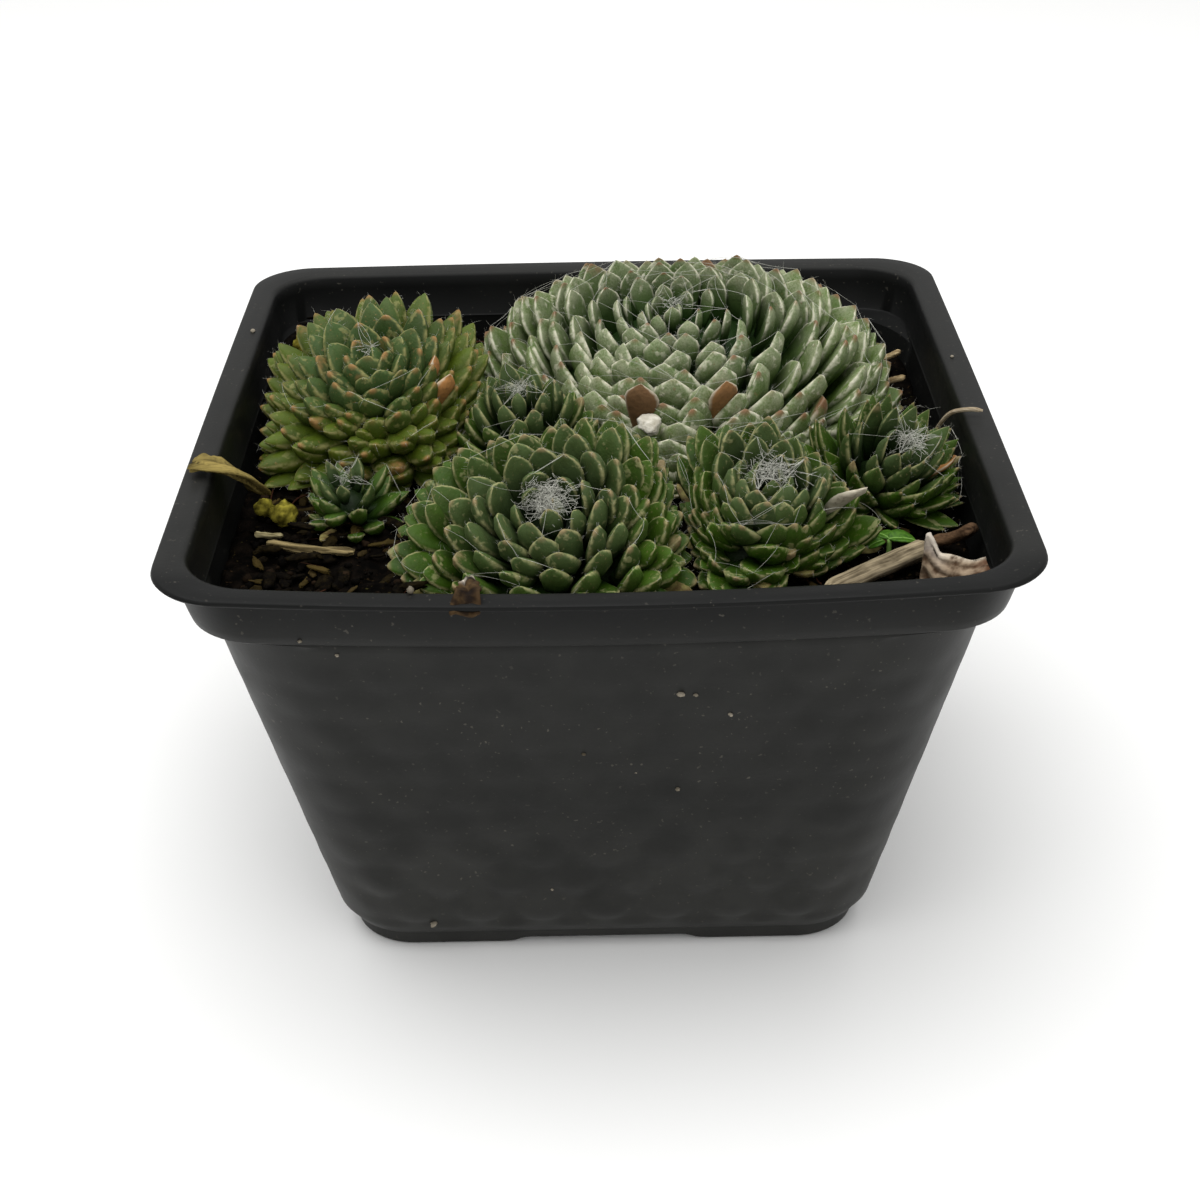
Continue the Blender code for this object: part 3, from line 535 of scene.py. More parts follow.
wall_gap = WALL + 0.0001
rings = [outline(body_half(z) - wall_gap - inset, inner_corner(z) - inset, z)
         for z, inset in ((FLOOR_Z + GAP, 0.0026), (FLOOR_Z + 0.0030, 0.0002), (SOIL_Z * 0.6, 0.0))]
edge = outline(body_half(SOIL_Z) - wall_gap, inner_corner(SOIL_Z), SOIL_Z)
shares = np.linspace(1.0, 0.012, SOIL_RINGS)
top = np.stack([edge[:, :2] * share for share in shares])
flat = np.concatenate([top, np.zeros((*top.shape[:2], 1))], -1)
crumble = (0.00045 * lumpiness(flat, 0.0034, 1) + 0.00032 * lumpiness(flat, 0.0015, 2)
           + 0.00018 * lumpiness(flat, 0.0008, 3))
level = soil_height(top[..., 0], top[..., 1]) - 0.0002 + crumble
rings = np.stack(rings + list(np.concatenate([top, level[..., None]], -1)))[None]
soil = add_mesh("potting_soil", with_ends(rings), closed_faces(*rings.shape[1:3]), damp_peat())
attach(soil, "root")
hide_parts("soil")


# Loose bits on the soil
# Crumbs of peat, flat chips of bark and wood, and dark root fibres, strewn at random over the soil inside
# the wall, with most of the larger bark at the front left.

CRUMBS = 2200
CHIPS = 620
LITTER = 170
FIBRES = 170
FIBRE_RINGS = 7
STREWN_HALF = 0.0385


def unit(vectors):
    """Vectors of length 1 the same way, along the last axis."""
    vectors = np.asarray(vectors, float)
    return vectors / np.linalg.norm(vectors, axis=-1, keepdims=True)


def tubes(paths, radii, around=3):
    """Thin tubes: at each point of a path, points on a circle square to the path's direction."""
    paths = np.asarray(paths, float)
    ahead = np.gradient(paths, axis=1)
    ahead = ahead / (np.linalg.norm(ahead, axis=-1, keepdims=True) + 1e-12)
    helper = np.where(np.abs(ahead[..., 2:]) > 0.9, (1.0, 0.0, 0.0), (0.0, 0.0, 1.0))
    side = unit(np.cross(ahead, helper))
    up = np.cross(ahead, side)
    turn = turns_round(around)[:, None]
    radii = np.broadcast_to(radii, paths.shape[:2])[..., None, None]
    rings = paths[:, :, None] + radii * (np.cos(turn) * side[:, :, None] + np.sin(turn) * up[:, :, None])
    return with_ends(rings, np.stack([paths[:, 0], paths[:, -1]], 1))


def scatter(count, draw, lift):
    """Random places on the soil inside the pot's wall."""
    x, y = draw.uniform(-STREWN_HALF, STREWN_HALF, (2, count))
    return np.stack([x, y + CENTRING, soil_height(x, y + CENTRING) + lift], -1)


draw = np.random.default_rng(12)
sizes = draw.uniform(0.00018, 0.00062, CRUMBS) * draw.uniform(0.7, 1.3, CRUMBS)
tones = draw.uniform(0, 1, CRUMBS) ** 4
points = grain_points(scatter(CRUMBS, draw, 0.0001), sizes, (1.0, 0.85, 0.8), draw)
add_grains("soil_crumbs", points, tones,
           gritty("peat_crumbs", (0.0010, 0.0008, 0.0006), (0.022, 0.013, 0.007)))

sizes = draw.uniform(0.0004, 0.0016, CHIPS)
tones = draw.uniform(0, 1, CHIPS) ** 5
points = grain_points(scatter(CHIPS, draw, 0.00025), sizes, (1.0, 0.5, 0.16), draw)
add_grains("bark_chips", points, tones,
           gritty("chipped_bark", (0.0012, 0.0008, 0.0006), (0.060, 0.042, 0.015)))

places = scatter(LITTER, draw, 0.0007)
aside = np.arange(LITTER) % 5 < 3
places[aside, 0] = draw.uniform(-0.0375, -0.0120, aside.sum())
places[aside, 1] = draw.uniform(-0.0375, -0.0070, aside.sum())
sizes = draw.uniform(0.0007, 0.0021, LITTER)
tones = draw.uniform(0, 1, LITTER) ** 3.5
points = grain_points(np.zeros((LITTER, 3)), np.ones(LITTER), (1.0, 0.36, 0.22), draw, 9, 12)
points = points * (1 + 0.42 * lumpiness(points + places[:, None] * 900, 0.45, 5))[..., None]
points = places[:, None] + points * sizes[:, None, None]
add_grains("bark_litter", points, tones,
           gritty("mossy_bark", (0.0014, 0.0009, 0.0006), (0.060, 0.042, 0.012), 0.0007), 9, 12)

starts = scatter(FIBRES, draw, 0.0004)
turns = draw.uniform(0, 2 * np.pi, FIBRES)
steps = np.linspace(0, 1, FIBRE_RINGS)
turns = turns[:, None] + draw.normal(0, 1.1, (FIBRES, 1)) * steps
ways = np.stack([np.cos(turns), np.sin(turns), 0.12 * np.sin(5 * steps) + 0 * turns], -1)
paths = starts[:, None] + np.cumsum(ways, 1) * draw.uniform(0.0004, 0.0011, (FIBRES, 1, 1))
paths[..., :2] = np.clip(paths[..., :2], 0.0010 - STREWN_HALF, STREWN_HALF)
points = tubes(paths, draw.uniform(0.00005, 0.00012, (FIBRES, 1)))
add_grains("root_fibres", points, draw.uniform(0, 1, FIBRES),
           gritty("root_fibre", (0.004, 0.002, 0.001), (0.055, 0.022, 0.012)), FIBRE_RINGS, 3)


# Houseleek rosettes
# Seven rosettes of one cobweb houseleek. Each is a spiral of fleshy leaves, keeled below and
# flatter above, upright at the crown and lying out at the foot, rooted on a short stem.

GOLDEN_ANGLE = math.pi * (3.0 - math.sqrt(5.0))
LOWEST_POLAR = math.radians(97)
OPENING_HALF = 0.0406
OPENING_TOP_HALF = 0.0414
SIDE_ROOM = (0.0007, 0.0, 0.0, 0.0015)
OVERLAP = 0.0006
LEAF_ROWS = 9
LEAF_AROUND = 8
LEAF_POINTS = LEAF_ROWS * LEAF_AROUND + 2
TIP_CLEARANCE = 0.0010
ROOT_SINK = 0.0010
ROOT_ROWS = 5
FIT_ROUNDS = 16
CORE_SIDES = 20

# Radius, level and share of the lean of each ring of the stem's head
CORE_RINGS = ((0.86, 0.0, 0.0), (1.00, 0.24, 0.3), (0.92, 0.46, 0.6), (0.70, 0.70, 0.8),
              (0.40, 0.92, 0.95), (0.15, 1.00, 1.0))

# Leaf forms: share of the width at the root, where it is widest, how the tip closes, how far the
# upper face bulges and how far the margins rise
FORMS = {
    "rhombic": {"root": 0.62, "widest": 0.76, "close": (1.12, 0.82), "bulge": 0.25, "cup": 0.10},
    "elliptic": {"root": 0.58, "widest": 0.66, "close": (1.9, 0.74), "bulge": 0.45, "cup": 0.06},
    "plump": {"root": 0.62, "widest": 0.58, "close": (2.0, 0.74), "bulge": 0.60, "cup": 0.03},
    "ovate": {"root": 0.62, "widest": 0.66, "close": (1.6, 0.80), "bulge": 0.35, "cup": 0.12},
    "lance": {"root": 0.62, "widest": 0.52, "close": (1.5, 0.90), "bulge": 0.35, "cup": 0.12},
}

# Heart is where the leaves spring from, reach from the axis to the outer tips, height from heart
# to crown, sink how far the crown lies below its dome, young and bud how long and how broad the
# youngest leaves are against the others
ROSETTES = [
    {"name": "large_back", "heart": (0.0098, 0.0162, 0.0483), "reach": 0.0285, "height": 0.0156,
     "lean": 10, "lean_to": (-0.3, -1.0), "leaves": 330, "leaf": (0.0126, 0.0062, 0.0016),
     "form": "rhombic",
     "crown": 0.42, "spread": 0.60, "sink": 0.0006, "young": 0.80, "bud": 0.0, "steep": (96, 18),
     "fall": 1.5,
     "curl": 24, "seed": 11, "finish": "leaf_grey_green", "borders": {"front_centre": 0.60}},
    {"name": "left", "heart": (-0.0247, 0.0058, 0.0495), "reach": 0.0202, "height": 0.0148,
     "lean": 21, "lean_to": (-0.3, -1.0), "leaves": 175, "leaf": (0.0112, 0.0037, 0.0018), "form": "plump",
     "crown": 0.88, "spread": 0.60, "sink": 0.0, "young": 1.05, "bud": 0.48, "steep": (94, -4),
     "fall": 0.80,
     "curl": 18, "seed": 21, "finish": "leaf_yellow_green"},
    {"name": "front_centre", "heart": (-0.0040, -0.0225, 0.0484), "reach": 0.0194, "height": 0.0122,
     "lean": 30, "lean_to": (-0.3, -1.0), "leaves": 168, "leaf": (0.0102, 0.0038, 0.0015),
     "form": "elliptic",
     "crown": 0.78, "spread": 0.60, "sink": 0.0012, "young": 0.62, "bud": 0.30, "steep": (108, 2),
     "fall": 1.15,
     "curl": 34, "seed": 33, "finish": "leaf_green", "dry_from": 0.76, "borders": {"large_back": 0.40,
     "front_right": 0.64}},
    {"name": "front_right", "heart": (0.0174, -0.0205, 0.0483), "reach": 0.0160, "height": 0.0138,
     "lean": 23, "lean_to": (0.15, -1.0), "leaves": 132, "leaf": (0.0098, 0.0038, 0.0014), "form": "ovate",
     "crown": 0.70, "spread": 0.58, "sink": 0.0014, "young": 0.60, "bud": 0.15, "steep": (102, 2),
     "fall": 1.2,
     "curl": 24, "seed": 14, "finish": "leaf_green", "borders": {"front_centre": 0.36},
     "clear_of": [((0.0274, -0.0270, 0.0496), (0.42, -0.57, -0.707))]},
    {"name": "right", "heart": (0.0318, -0.0100, 0.0490), "reach": 0.0118, "height": 0.0108,
     "lean": 30, "lean_to": (0.6, -1.0), "leaves": 92, "leaf": (0.0090, 0.0029, 0.0011), "form": "lance",
     "crown": 0.60, "spread": 0.56, "sink": 0.0012, "young": 0.60, "bud": 0.10, "steep": (98, 2),
     "fall": 1.3,
     "curl": 18, "seed": 15, "finish": "leaf_green",
     "clear_of": [((0.0310, -0.0186, 0.0500), (0.0, -1.0, 0.0))]},
    {"name": "small_middle", "heart": (-0.0081, 0.0006, 0.0488), "reach": 0.0108, "height": 0.0116,
     "lean": 12, "lean_to": (-0.4, -1.0), "leaves": 84, "leaf": (0.0080, 0.0032, 0.0012), "form": "ovate",
     "crown": 0.60, "spread": 0.56, "sink": 0.0012, "young": 0.60, "bud": 0.10, "steep": (98, 14),
     "fall": 1.4,
     "curl": 20, "seed": 16, "finish": "leaf_green",
     "borders": {"left": 0.44, "front_centre": 0.42, "large_back": 0.34}},
    {"name": "small_left", "heart": (-0.0280, -0.0118, 0.0489), "reach": 0.0074, "height": 0.0058,
     "lean": 12, "lean_to": (-0.6, -1.0), "leaves": 30, "leaf": (0.0058, 0.0024, 0.0011), "form": "lance",
     "crown": 0.50, "spread": 0.56, "sink": 0.0, "young": 0.80, "bud": 0.0, "steep": (92, 4), "fall": 1.1,
     "curl": 14, "seed": 17, "finish": "leaf_green",
     "clear_of": [((-0.0329, -0.0130, 0.0490), (-1.0, -0.1, 0.0))]},
]

# deep is a near black green: the painted shade at the leaf roots and on the stem's head, also used to darken
# leaves and mottles at random
LEAF_COLOURS = {
    "leaf_grey_green": {"deep": (0.010, 0.030, 0.003), "young": (0.095, 0.150, 0.045),
                        "old": (0.080, 0.145, 0.016),
                        "pale": (0.44, 0.46, 0.30), "fuzz": 0.72, "edge": (0.74, 0.71, 0.56),
                        "point": (0.19, 0.085, 0.040), "dry": (0.24, 0.15, 0.07)},
    "leaf_yellow_green": {"deep": (0.007, 0.020, 0.001), "young": (0.038, 0.080, 0.020),
                          "old": (0.078, 0.116, 0.004),
                          "pale": (0.22, 0.25, 0.08), "fuzz": 0.20, "edge": (0.33, 0.31, 0.12),
                          "point": (0.30, 0.16, 0.055), "dry": (0.30, 0.22, 0.08)},
    "leaf_green": {"deep": (0.005, 0.015, 0.001), "young": (0.070, 0.108, 0.038),
                   "old": (0.036, 0.090, 0.002),
                   "pale": (0.20, 0.26, 0.06), "fuzz": 0.16, "edge": (0.42, 0.40, 0.19),
                   "point": (0.30, 0.22, 0.11), "dry": (0.34, 0.28, 0.10)},
}


def turn_about(axis, degrees):
    """Rotation matrix about an axis, by Rodrigues' formula."""
    x, y, z = unit(axis)
    cross = np.array([[0, -z, y], [z, 0, -x], [-y, x, 0]])
    angle = math.radians(degrees)
    return np.eye(3) + math.sin(angle) * cross + (1 - math.cos(angle)) * cross @ cross


def lean_matrix(spec, share=1.0):
    """Turn from a rosette's own frame, its axis along +Z, to the world."""
    towards = unit((*spec["lean_to"], 0.0))
    return turn_about(np.cross((0, 0, 1), towards), spec["lean"] * share)


def planes_round(spec):
    """Planes that a rosette's leaves stay behind: half way to its neighbours, and the pot's wall."""
    own = np.array(spec["heart"])
    planes = []
    for other in ROSETTES:
        apart = (np.array(other["heart"]) - own) * (1, 1, 0)
        if other is not spec and np.linalg.norm(apart) < spec["reach"] + other["reach"] + 0.002:
            share = spec["reach"] / (spec["reach"] + other["reach"])
            share = spec.get("borders", {}).get(other["name"], share)
            planes.append((own + apart * share + unit(apart) * OVERLAP, unit(apart)))
    planes += [(np.array(place), unit(outward)) for place, outward in spec.get("clear_of", ())]
    slope = math.atan((OPENING_TOP_HALF - OPENING_HALF) / (RIM_Z - SOIL_Z))
    for side in range(4):
        turn = turn_about((0, 0, 1), 90 * side)
        half = OPENING_HALF + SIDE_ROOM[side]
        planes.append((turn @ (half, 0, SOIL_Z), turn @ (math.cos(slope), 0, -math.sin(slope))))
    return planes


def leaf_rows():
    """Share of the way along a leaf of each ring, closer together towards the tip by a power."""
    step = np.arange(LEAF_ROWS) / (LEAF_ROWS - 0.55)
    return 1 - (1 - step) ** 1.35


def leaf_points(form, length, width, thick, pitch, curl, roll, bend):
    """Leaves back from their tips at the origin, +X the way out, +Y across, +Z up the axis.

    The middle line is an arc from the angle pitch at the root, curling up by curl at the tip.
    Each section is an ellipse with a deeper lower half, its width rising by a sine to the widest
    place and closing at the tip by (1 - s^a)^b, its margins raised by the square of the width.
    """
    along = leaf_rows()
    tip_share = np.clip((along - form["widest"]) / (1 - form["widest"]), 0, 1)
    power, close = form["close"]
    swelling = np.sin(np.minimum(1, along / form["widest"]) * np.pi / 2) ** 1.3
    wide = form["root"] + (1 - form["root"]) * swelling
    wide = wide * (1 - tip_share ** power) ** close
    deep = (0.85 + 0.15 * np.sin(np.pi * along)) * (1 - tip_share ** 2.4) ** 0.75
    across, rise = np.cos(turns_round(LEAF_AROUND)), np.sin(turns_round(LEAF_AROUND))
    rise = np.where(rise > 0, form["bulge"], 1.0) * np.sign(rise) * np.abs(rise) ** 0.9

    def spot(share):
        angle = pitch[:, None] + curl[:, None] * share / 2
        return np.stack([np.cos(angle), 0 * angle, np.sin(angle)], -1) * (length[:, None] * share)[..., None]

    angle = pitch[:, None] + curl[:, None] * along
    up = np.stack([-np.sin(angle), 0 * angle, np.cos(angle)], -1)[:, :, None]
    side = np.array([0.0, 1.0, 0.0])
    y = (width / 2)[:, None, None] * wide[:, None] * across
    h = thick[:, None, None] * deep[:, None] * rise
    h = h + form["cup"] * (y ** 2) / (width / 2)[:, None, None]
    turned_y = y * np.cos(roll)[:, None, None] - h * np.sin(roll)[:, None, None]
    turned_h = y * np.sin(roll)[:, None, None] + h * np.cos(roll)[:, None, None]
    turned_y = turned_y + (bend * length)[:, None, None] * ((1 - along) ** 2)[:, None]
    tip = spot(np.ones(1))
    middle = spot(along) - tip
    rings = middle[:, :, None] + turned_y[..., None] * side + turned_h[..., None] * up
    root_end = middle[:, :1] + (bend * length)[:, None, None] * side
    return with_ends(rings, np.concatenate([root_end, np.zeros((len(length), 1, 3))], 1))


def leaf_values():
    """Along and margin numbers of one leaf's points: 0 at root and middle, 1 at tip and edge."""
    along = np.repeat(leaf_rows(), LEAF_AROUND)
    margin = np.tile(np.abs(np.cos(turns_round(LEAF_AROUND))), LEAF_ROWS)
    return np.append(along, (0.0, 1.0)), np.append(margin, (0.0, 1.0))


def grow(spec, draw):
    """All leaves of a rosette: tips on a dome by the golden angle, steeper where they lack room.

    Leaf n stands n golden angles round and age^spread of the way down the dome. A leaf that
    crosses a border or the soil is raised, drawn in and steepened a little, round by round.
    """
    planes = planes_round(spec)
    heart = np.array(spec["heart"])
    frame_turn = lean_matrix(spec)
    count = spec["leaves"]
    number = np.arange(count)
    age = (number + 0.5) / count
    share = age ** spec["spread"]
    around = number * GOLDEN_ANGLE + draw.uniform(-0.11, 0.11, count)
    facing_lean = np.cos(around - math.atan2(spec["lean_to"][1], spec["lean_to"][0]))
    lean = math.radians(spec["lean"])
    leaning_out = np.maximum(0, facing_lean)
    polar = share * (LOWEST_POLAR - lean * (leaning_out + 0.3 * np.minimum(0, facing_lean)))
    grown = spec["crown"] + (1 - spec["crown"]) * smooth(0.0, 0.6, share)
    grown = grown * (spec["young"] + (1 - spec["young"]) * smooth(0.05, 0.24, share))
    length, width, thick = (size * grown * draw.uniform(0.90, 1.08, count) for size in spec["leaf"])
    width = width * (1 + spec["bud"] * smooth(0.42, 0.16, share))
    way = np.stack([np.cos(around), np.sin(around), 0 * around], -1) @ frame_turn.T
    way[:, 2] = 0
    way = unit(way)
    room = np.full(count, spec["reach"])
    for place, outward in planes:
        facing = way @ outward
        free = (place - heart) @ outward / np.where(facing > 0.05, facing, 1.0) - GAP
        room = np.where(facing > 0.05, np.minimum(room, free), room)
    room = np.maximum(0.35, room / spec["reach"])
    steep_in, steep_out = spec["steep"]
    steep = steep_in + (steep_out - steep_in) * share ** spec["fall"] + draw.normal(0, 5.0, count)
    steep = steep + (1 - room) * 34 * np.sin(polar) + spec["lean"] * leaning_out * share
    reach = spec["reach"] * room * np.sin(np.minimum(polar, np.pi / 2)) * draw.uniform(0.95, 1.0, count)
    height = spec["height"] * np.cos(polar) - spec["sink"] * smooth(0.26, 0.06, share)
    height = height + draw.normal(0, 0.00028, count)
    curl = np.radians(spec["curl"] * draw.uniform(0.7, 1.3, count))
    roll = np.radians(draw.normal(0, 10, count))
    bend = draw.normal(0, 0.05, count)
    form = FORMS[spec["form"]]
    tries = np.zeros(count)
    for _ in range(FIT_ROUNDS):
        pitch = np.radians(np.minimum(steep + tries * (4.5 - 3.5 * share), 112)) - curl
        points = leaf_points(form, length, width, thick, pitch, curl, roll, bend)
        tip = np.stack([reach * (1 - 0.02 * tries), 0 * reach, height + 0.0005 * tries], -1)
        points = turned(points + tip[:, None], around, 0 * around) @ frame_turn.T + heart
        tips = points[:, -1]
        lift = soil_height(tips[:, 0], tips[:, 1]) + TIP_CLEARANCE - tips[:, 2]
        points = points + (np.maximum(0, lift)[:, None] * np.array([0, 0, 1.0]))[:, None]
        outer_part = points[:, LEAF_AROUND * ROOT_ROWS:]
        bad = np.zeros(count, bool)
        for place, outward in planes:
            bad = bad | np.any((outer_part - place) @ outward > -GAP / 2, 1)
        tries = tries + bad
    points[..., 2] = np.maximum(points[..., 2], heart[2] - ROOT_SINK)
    return points[~bad], share[~bad]


def core_points(spec):
    """The stem's head under the leaves: a dome of rings that lean over with the rosette."""
    length = spec["leaf"][0]
    wide = spec["reach"] - length * 0.90
    high = spec["height"] - length * spec["crown"] * 0.80 - 0.0010 - spec["sink"]
    turn = turns_round(CORE_SIDES)
    circle = np.stack([np.cos(turn), np.sin(turn), 0 * turn], -1)
    rings = [np.array(spec["heart"]) + circle * wide * 0.80 - (0, 0, 0.0016)]
    for radius, level, lean_share in CORE_RINGS:
        ring = circle * wide * radius + (0, 0, high * level)
        rings.append(ring @ lean_matrix(spec, lean_share).T + spec["heart"])
    rings = np.stack(rings)
    for place, outward in planes_round(spec):
        rings = rings - np.maximum(0, (rings - place) @ outward + 0.0040)[..., None] * outward
    return with_ends(rings[None])


def leaf_surface(name, shades):
    """Succulent skin: green by the leaf's age, darkened towards the root by painted shade, pale felt
    towards the tip, a woolly margin line, pale scars, brown points, and straw colour on the dead ones."""
    paint = Paint(name, {"Specular IOR Level": 0.20})
    along, margin, own, age, dry = (paint.value(word) for word in ("along", "margin", "own", "age", "dry"))
    mottle = paint.noise(0.0018, 3.0)
    felt = paint.noise(0.00022, 2.0)
    blade = paint.mix(age.ramp(0.28, 0.58), shades["young"], shades["old"])
    blade = paint.mix(own * 0.38 + mottle.ramp(0.35, 0.70) * 0.36, blade, shades["deep"])
    # Painted shade: each leaf runs into the deep colour towards its root, where the leaves above shade it.
    colour = paint.mix(along.ramp(0.12, 0.72), shades["deep"], blade)
    woolly = 1.0 - own.ramp(0.40, 1.0) * 0.45 - age.ramp(0.55, 0.85) * 0.45
    pale = along.ramp(0.46, 1.0) * (felt * 0.45 + mottle * 0.75).ramp(0.30, 0.85) * woolly * shades["fuzz"]
    colour = paint.mix(pale, colour, shades["pale"])
    line = margin.ramp(0.80, 1.0) * along.ramp(0.38, 0.78) * paint.noise(0.0009, 2.0).ramp(0.28, 0.60) * 0.80
    colour = paint.mix(line, colour, shades["edge"])
    point = along.ramp(0.935, 1.0) * own.ramp(0.25, 0.85) * 0.90
    burnt = along.ramp(0.80, 0.96) * (own + mottle * 0.25).ramp(1.08, 1.14) * 0.85
    specks = along.ramp(0.55, 0.90) * paint.noise(0.00040, 1.0).ramp(0.66, 0.74) * 0.35
    scars = paint.noise(0.0013, 4.0).ramp(0.58, 0.68) * along.ramp(0.50, 0.85) * 0.42
    colour = paint.mix(scars, colour, shades["edge"])
    colour = paint.mix(point.larger(specks).larger(burnt), colour, shades["point"])
    papery = paint.mix(paint.noise(0.0009, 3.0).ramp(0.3, 0.7), shades["dry"], (0.13, 0.07, 0.03))
    colour = paint.mix(dry * (0.95 - felt * 0.45), colour, papery)
    roughness = 0.46 + felt * 0.14 + pale * 0.25 + dry * 0.2
    return paint.finish(colour, roughness, felt + mottle * 3.0 + scars * 2.0, 0.00009, 0.60)


def joined(forms):
    """Several point sets with their face lists and values as one."""
    points, faces, values, first = [], [], {}, 0
    for form_points, form_faces, form_values in forms:
        flat_points = form_points.reshape(-1, 3)
        points.append(flat_points)
        faces += [[corner + first for corner in face] for face in form_faces]
        first += len(flat_points)
        for word, value in form_values.items():
            values.setdefault(word, []).append(np.broadcast_to(np.ravel(value), len(flat_points)))
    return np.concatenate(points), faces, {word: np.concatenate(value) for word, value in values.items()}


grown_rosettes = {}
surfaces = {name: leaf_surface(name, shades) for name, shades in LEAF_COLOURS.items()}
for spec in ROSETTES:
    draw = np.random.default_rng(spec["seed"])
    points, share = grow(spec, draw)
    grown_rosettes[spec["name"]] = (points, share)
    count = len(points)
    along, margin = leaf_values()
    tips = points[:, -1]
    front = (tips[:, 1] - spec["heart"][1]) < -0.50 * spec["reach"]
    dry_from = np.where(front, spec.get("dry_from", 0.92), 0.93)
    dead = (share > dry_from) & (draw.uniform(0, 1, count) < np.where(front, 0.60, 0.25))
    own = draw.uniform(0, 1, count)
    shrunk = tips[:, None] + (points - tips[:, None]) * 0.62
    points = np.where(dead[:, None, None], shrunk, points)
    leaf_part = (points, closed_faces(LEAF_ROWS, LEAF_AROUND, count),
                 {"along": np.tile(along, count), "margin": np.tile(margin, count),
                  "own": np.repeat(own, LEAF_POINTS), "age": np.repeat(share, LEAF_POINTS),
                  "dry": np.repeat(dead * 1.0, LEAF_POINTS)})
    # The stem's head takes along 0, so it is painted all over in the deep shade colour of the leaf roots.
    core_part = (core_points(spec), closed_faces(len(CORE_RINGS) + 1, CORE_SIDES),
                 {"along": 0.0, "margin": 0.0, "own": 0.8, "age": 0.5, "dry": 0.0})
    all_points, faces, values = joined([leaf_part, core_part])
    piece = add_mesh("houseleek_" + spec["name"], all_points, faces, surfaces[spec["finish"]], **values)
    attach(piece, "root")
    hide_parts("rosette_" + spec["name"])


# Dry leaves in the rosettes
# A few leaves have died where they stand: two bleached ones at the front right rosette, an orange
# tan one at the right, two brown ones at the front of the large one and a rusty pair at the left.

DRY_LEAVES = [
    {"tip": (0.0279, -0.0264, 0.0578), "size": (0.0058, 0.0044, 0.0007), "way": -40, "pitch": 58,
     "curl": -30, "tone": 1.0},
    {"tip": (0.0284, -0.0222, 0.0512), "size": (0.0044, 0.0028, 0.0006), "way": -35, "pitch": 30,
     "curl": 40, "tone": 0.8},
    {"tip": (0.0401, -0.0116, 0.0542), "size": (0.0066, 0.0027, 0.0007), "way": -8, "pitch": 40,
     "curl": -10, "tone": 0.45},
    {"tip": (0.0052, -0.0012, 0.0590), "size": (0.0070, 0.0042, 0.0008), "way": -98, "pitch": 66,
     "curl": 16, "tone": 0.10},
    {"tip": (0.0150, -0.0008, 0.0590), "size": (0.0070, 0.0040, 0.0008), "way": -74, "pitch": 62,
     "curl": 16, "tone": 0.20},
    {"tip": (-0.0186, 0.0030, 0.0612), "size": (0.0070, 0.0036, 0.0012), "way": -12, "pitch": 58,
     "curl": 10, "tone": 0.30},
    {"tip": (-0.0168, 0.0008, 0.0598), "size": (0.0064, 0.0032, 0.0012), "way": -30, "pitch": 50,
     "curl": 10, "tone": 0.40},
]


def papery_leaf():
    """Dead leaf skin: brown, rusty or bleached by the leaf's tone, with darker flecks and a pale margin."""
    paint = Paint("papery_leaf", {"Specular IOR Level": 0.12})
    tone, along, margin = (paint.value(word) for word in ("tone", "along", "margin"))
    fleck = paint.noise(0.0007, 3.0)
    colour = paint.mix(tone.ramp(0.0, 0.45), (0.12, 0.070, 0.035), (0.36, 0.17, 0.055))
    colour = paint.mix(tone.ramp(0.45, 1.0), colour, (0.52, 0.47, 0.36))
    colour = paint.mix(fleck.ramp(0.45, 0.75) * 0.6, colour, (0.10, 0.060, 0.030))
    colour = paint.mix(margin.ramp(0.82, 1.0) * along.ramp(0.3, 0.7) * 0.7, colour, (0.60, 0.56, 0.44))
    return paint.finish(colour, 0.75 + fleck * 0.1, fleck + margin * 0.6, 0.0002, 0.8)


lengths, widths, thicks = np.array([leaf["size"] for leaf in DRY_LEAVES]).T
pitches, curls, ways = np.radians([[leaf[word] for leaf in DRY_LEAVES] for word in ("pitch", "curl", "way")])
rolls = 0.25 * np.cos(ways * 5)
points = leaf_points(FORMS["rhombic"], lengths, widths, thicks, pitches, curls, rolls, 0 * ways)
points = turned(points, ways, 0 * ways) + np.array([leaf["tip"] for leaf in DRY_LEAVES])[:, None]
along, margin = leaf_values()
count = len(DRY_LEAVES)
dry_leaves = add_mesh("dry_leaves", points, closed_faces(LEAF_ROWS, LEAF_AROUND, count), papery_leaf(),
                      along=np.tile(along, count), margin=np.tile(margin, count),
                      tone=np.repeat([leaf["tone"] for leaf in DRY_LEAVES], LEAF_POINTS))
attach(dry_leaves, "root")


# Cobweb and hairs
# White hairs that the leaves grow: a fringe along each margin, a tuft at each tip, and long
# threads that run from tip to tip and mat into a woolly web over the young crowns.

FRINGE_LENGTH = (0.00015, 0.00040)
FRINGE_RADIUS = 0.000013
TUFT_LENGTH = (0.0002, 0.0006)
THREAD_RADIUS = 0.000018

# For each rosette: hairs to a leaf's margin, hairs to a tuft, threads between tips, threads
# matted over the crown, spokes from the mat to the crown's tips, and the mat's radius
WEBS = {
    "large_back": (14, 2, 380, 30, 8, 0.0014),
    "left": (8, 2, 40, 20, 6, 0.0008),
    "front_centre": (8, 3, 70, 420, 14, 0.0021),
    "front_right": (8, 3, 90, 210, 36, 0.0022),
    "right": (7, 3, 50, 120, 26, 0.0017),
    "small_middle": (7, 3, 70, 60, 16, 0.0012),
    "small_left": (6, 3, 24, 24, 8, 0.0009),
}


def white_hair():
    """Dull white hair, a little darker here and there."""
    paint = Paint("white_hair", {"Specular IOR Level": 0.1})
    colour = paint.mix(paint.noise(0.002, 1.0), (0.34, 0.34, 0.29), (0.70, 0.70, 0.63))
    return paint.finish(colour, 0.7 + paint.noise(0.001, 1.0) * 0.1)


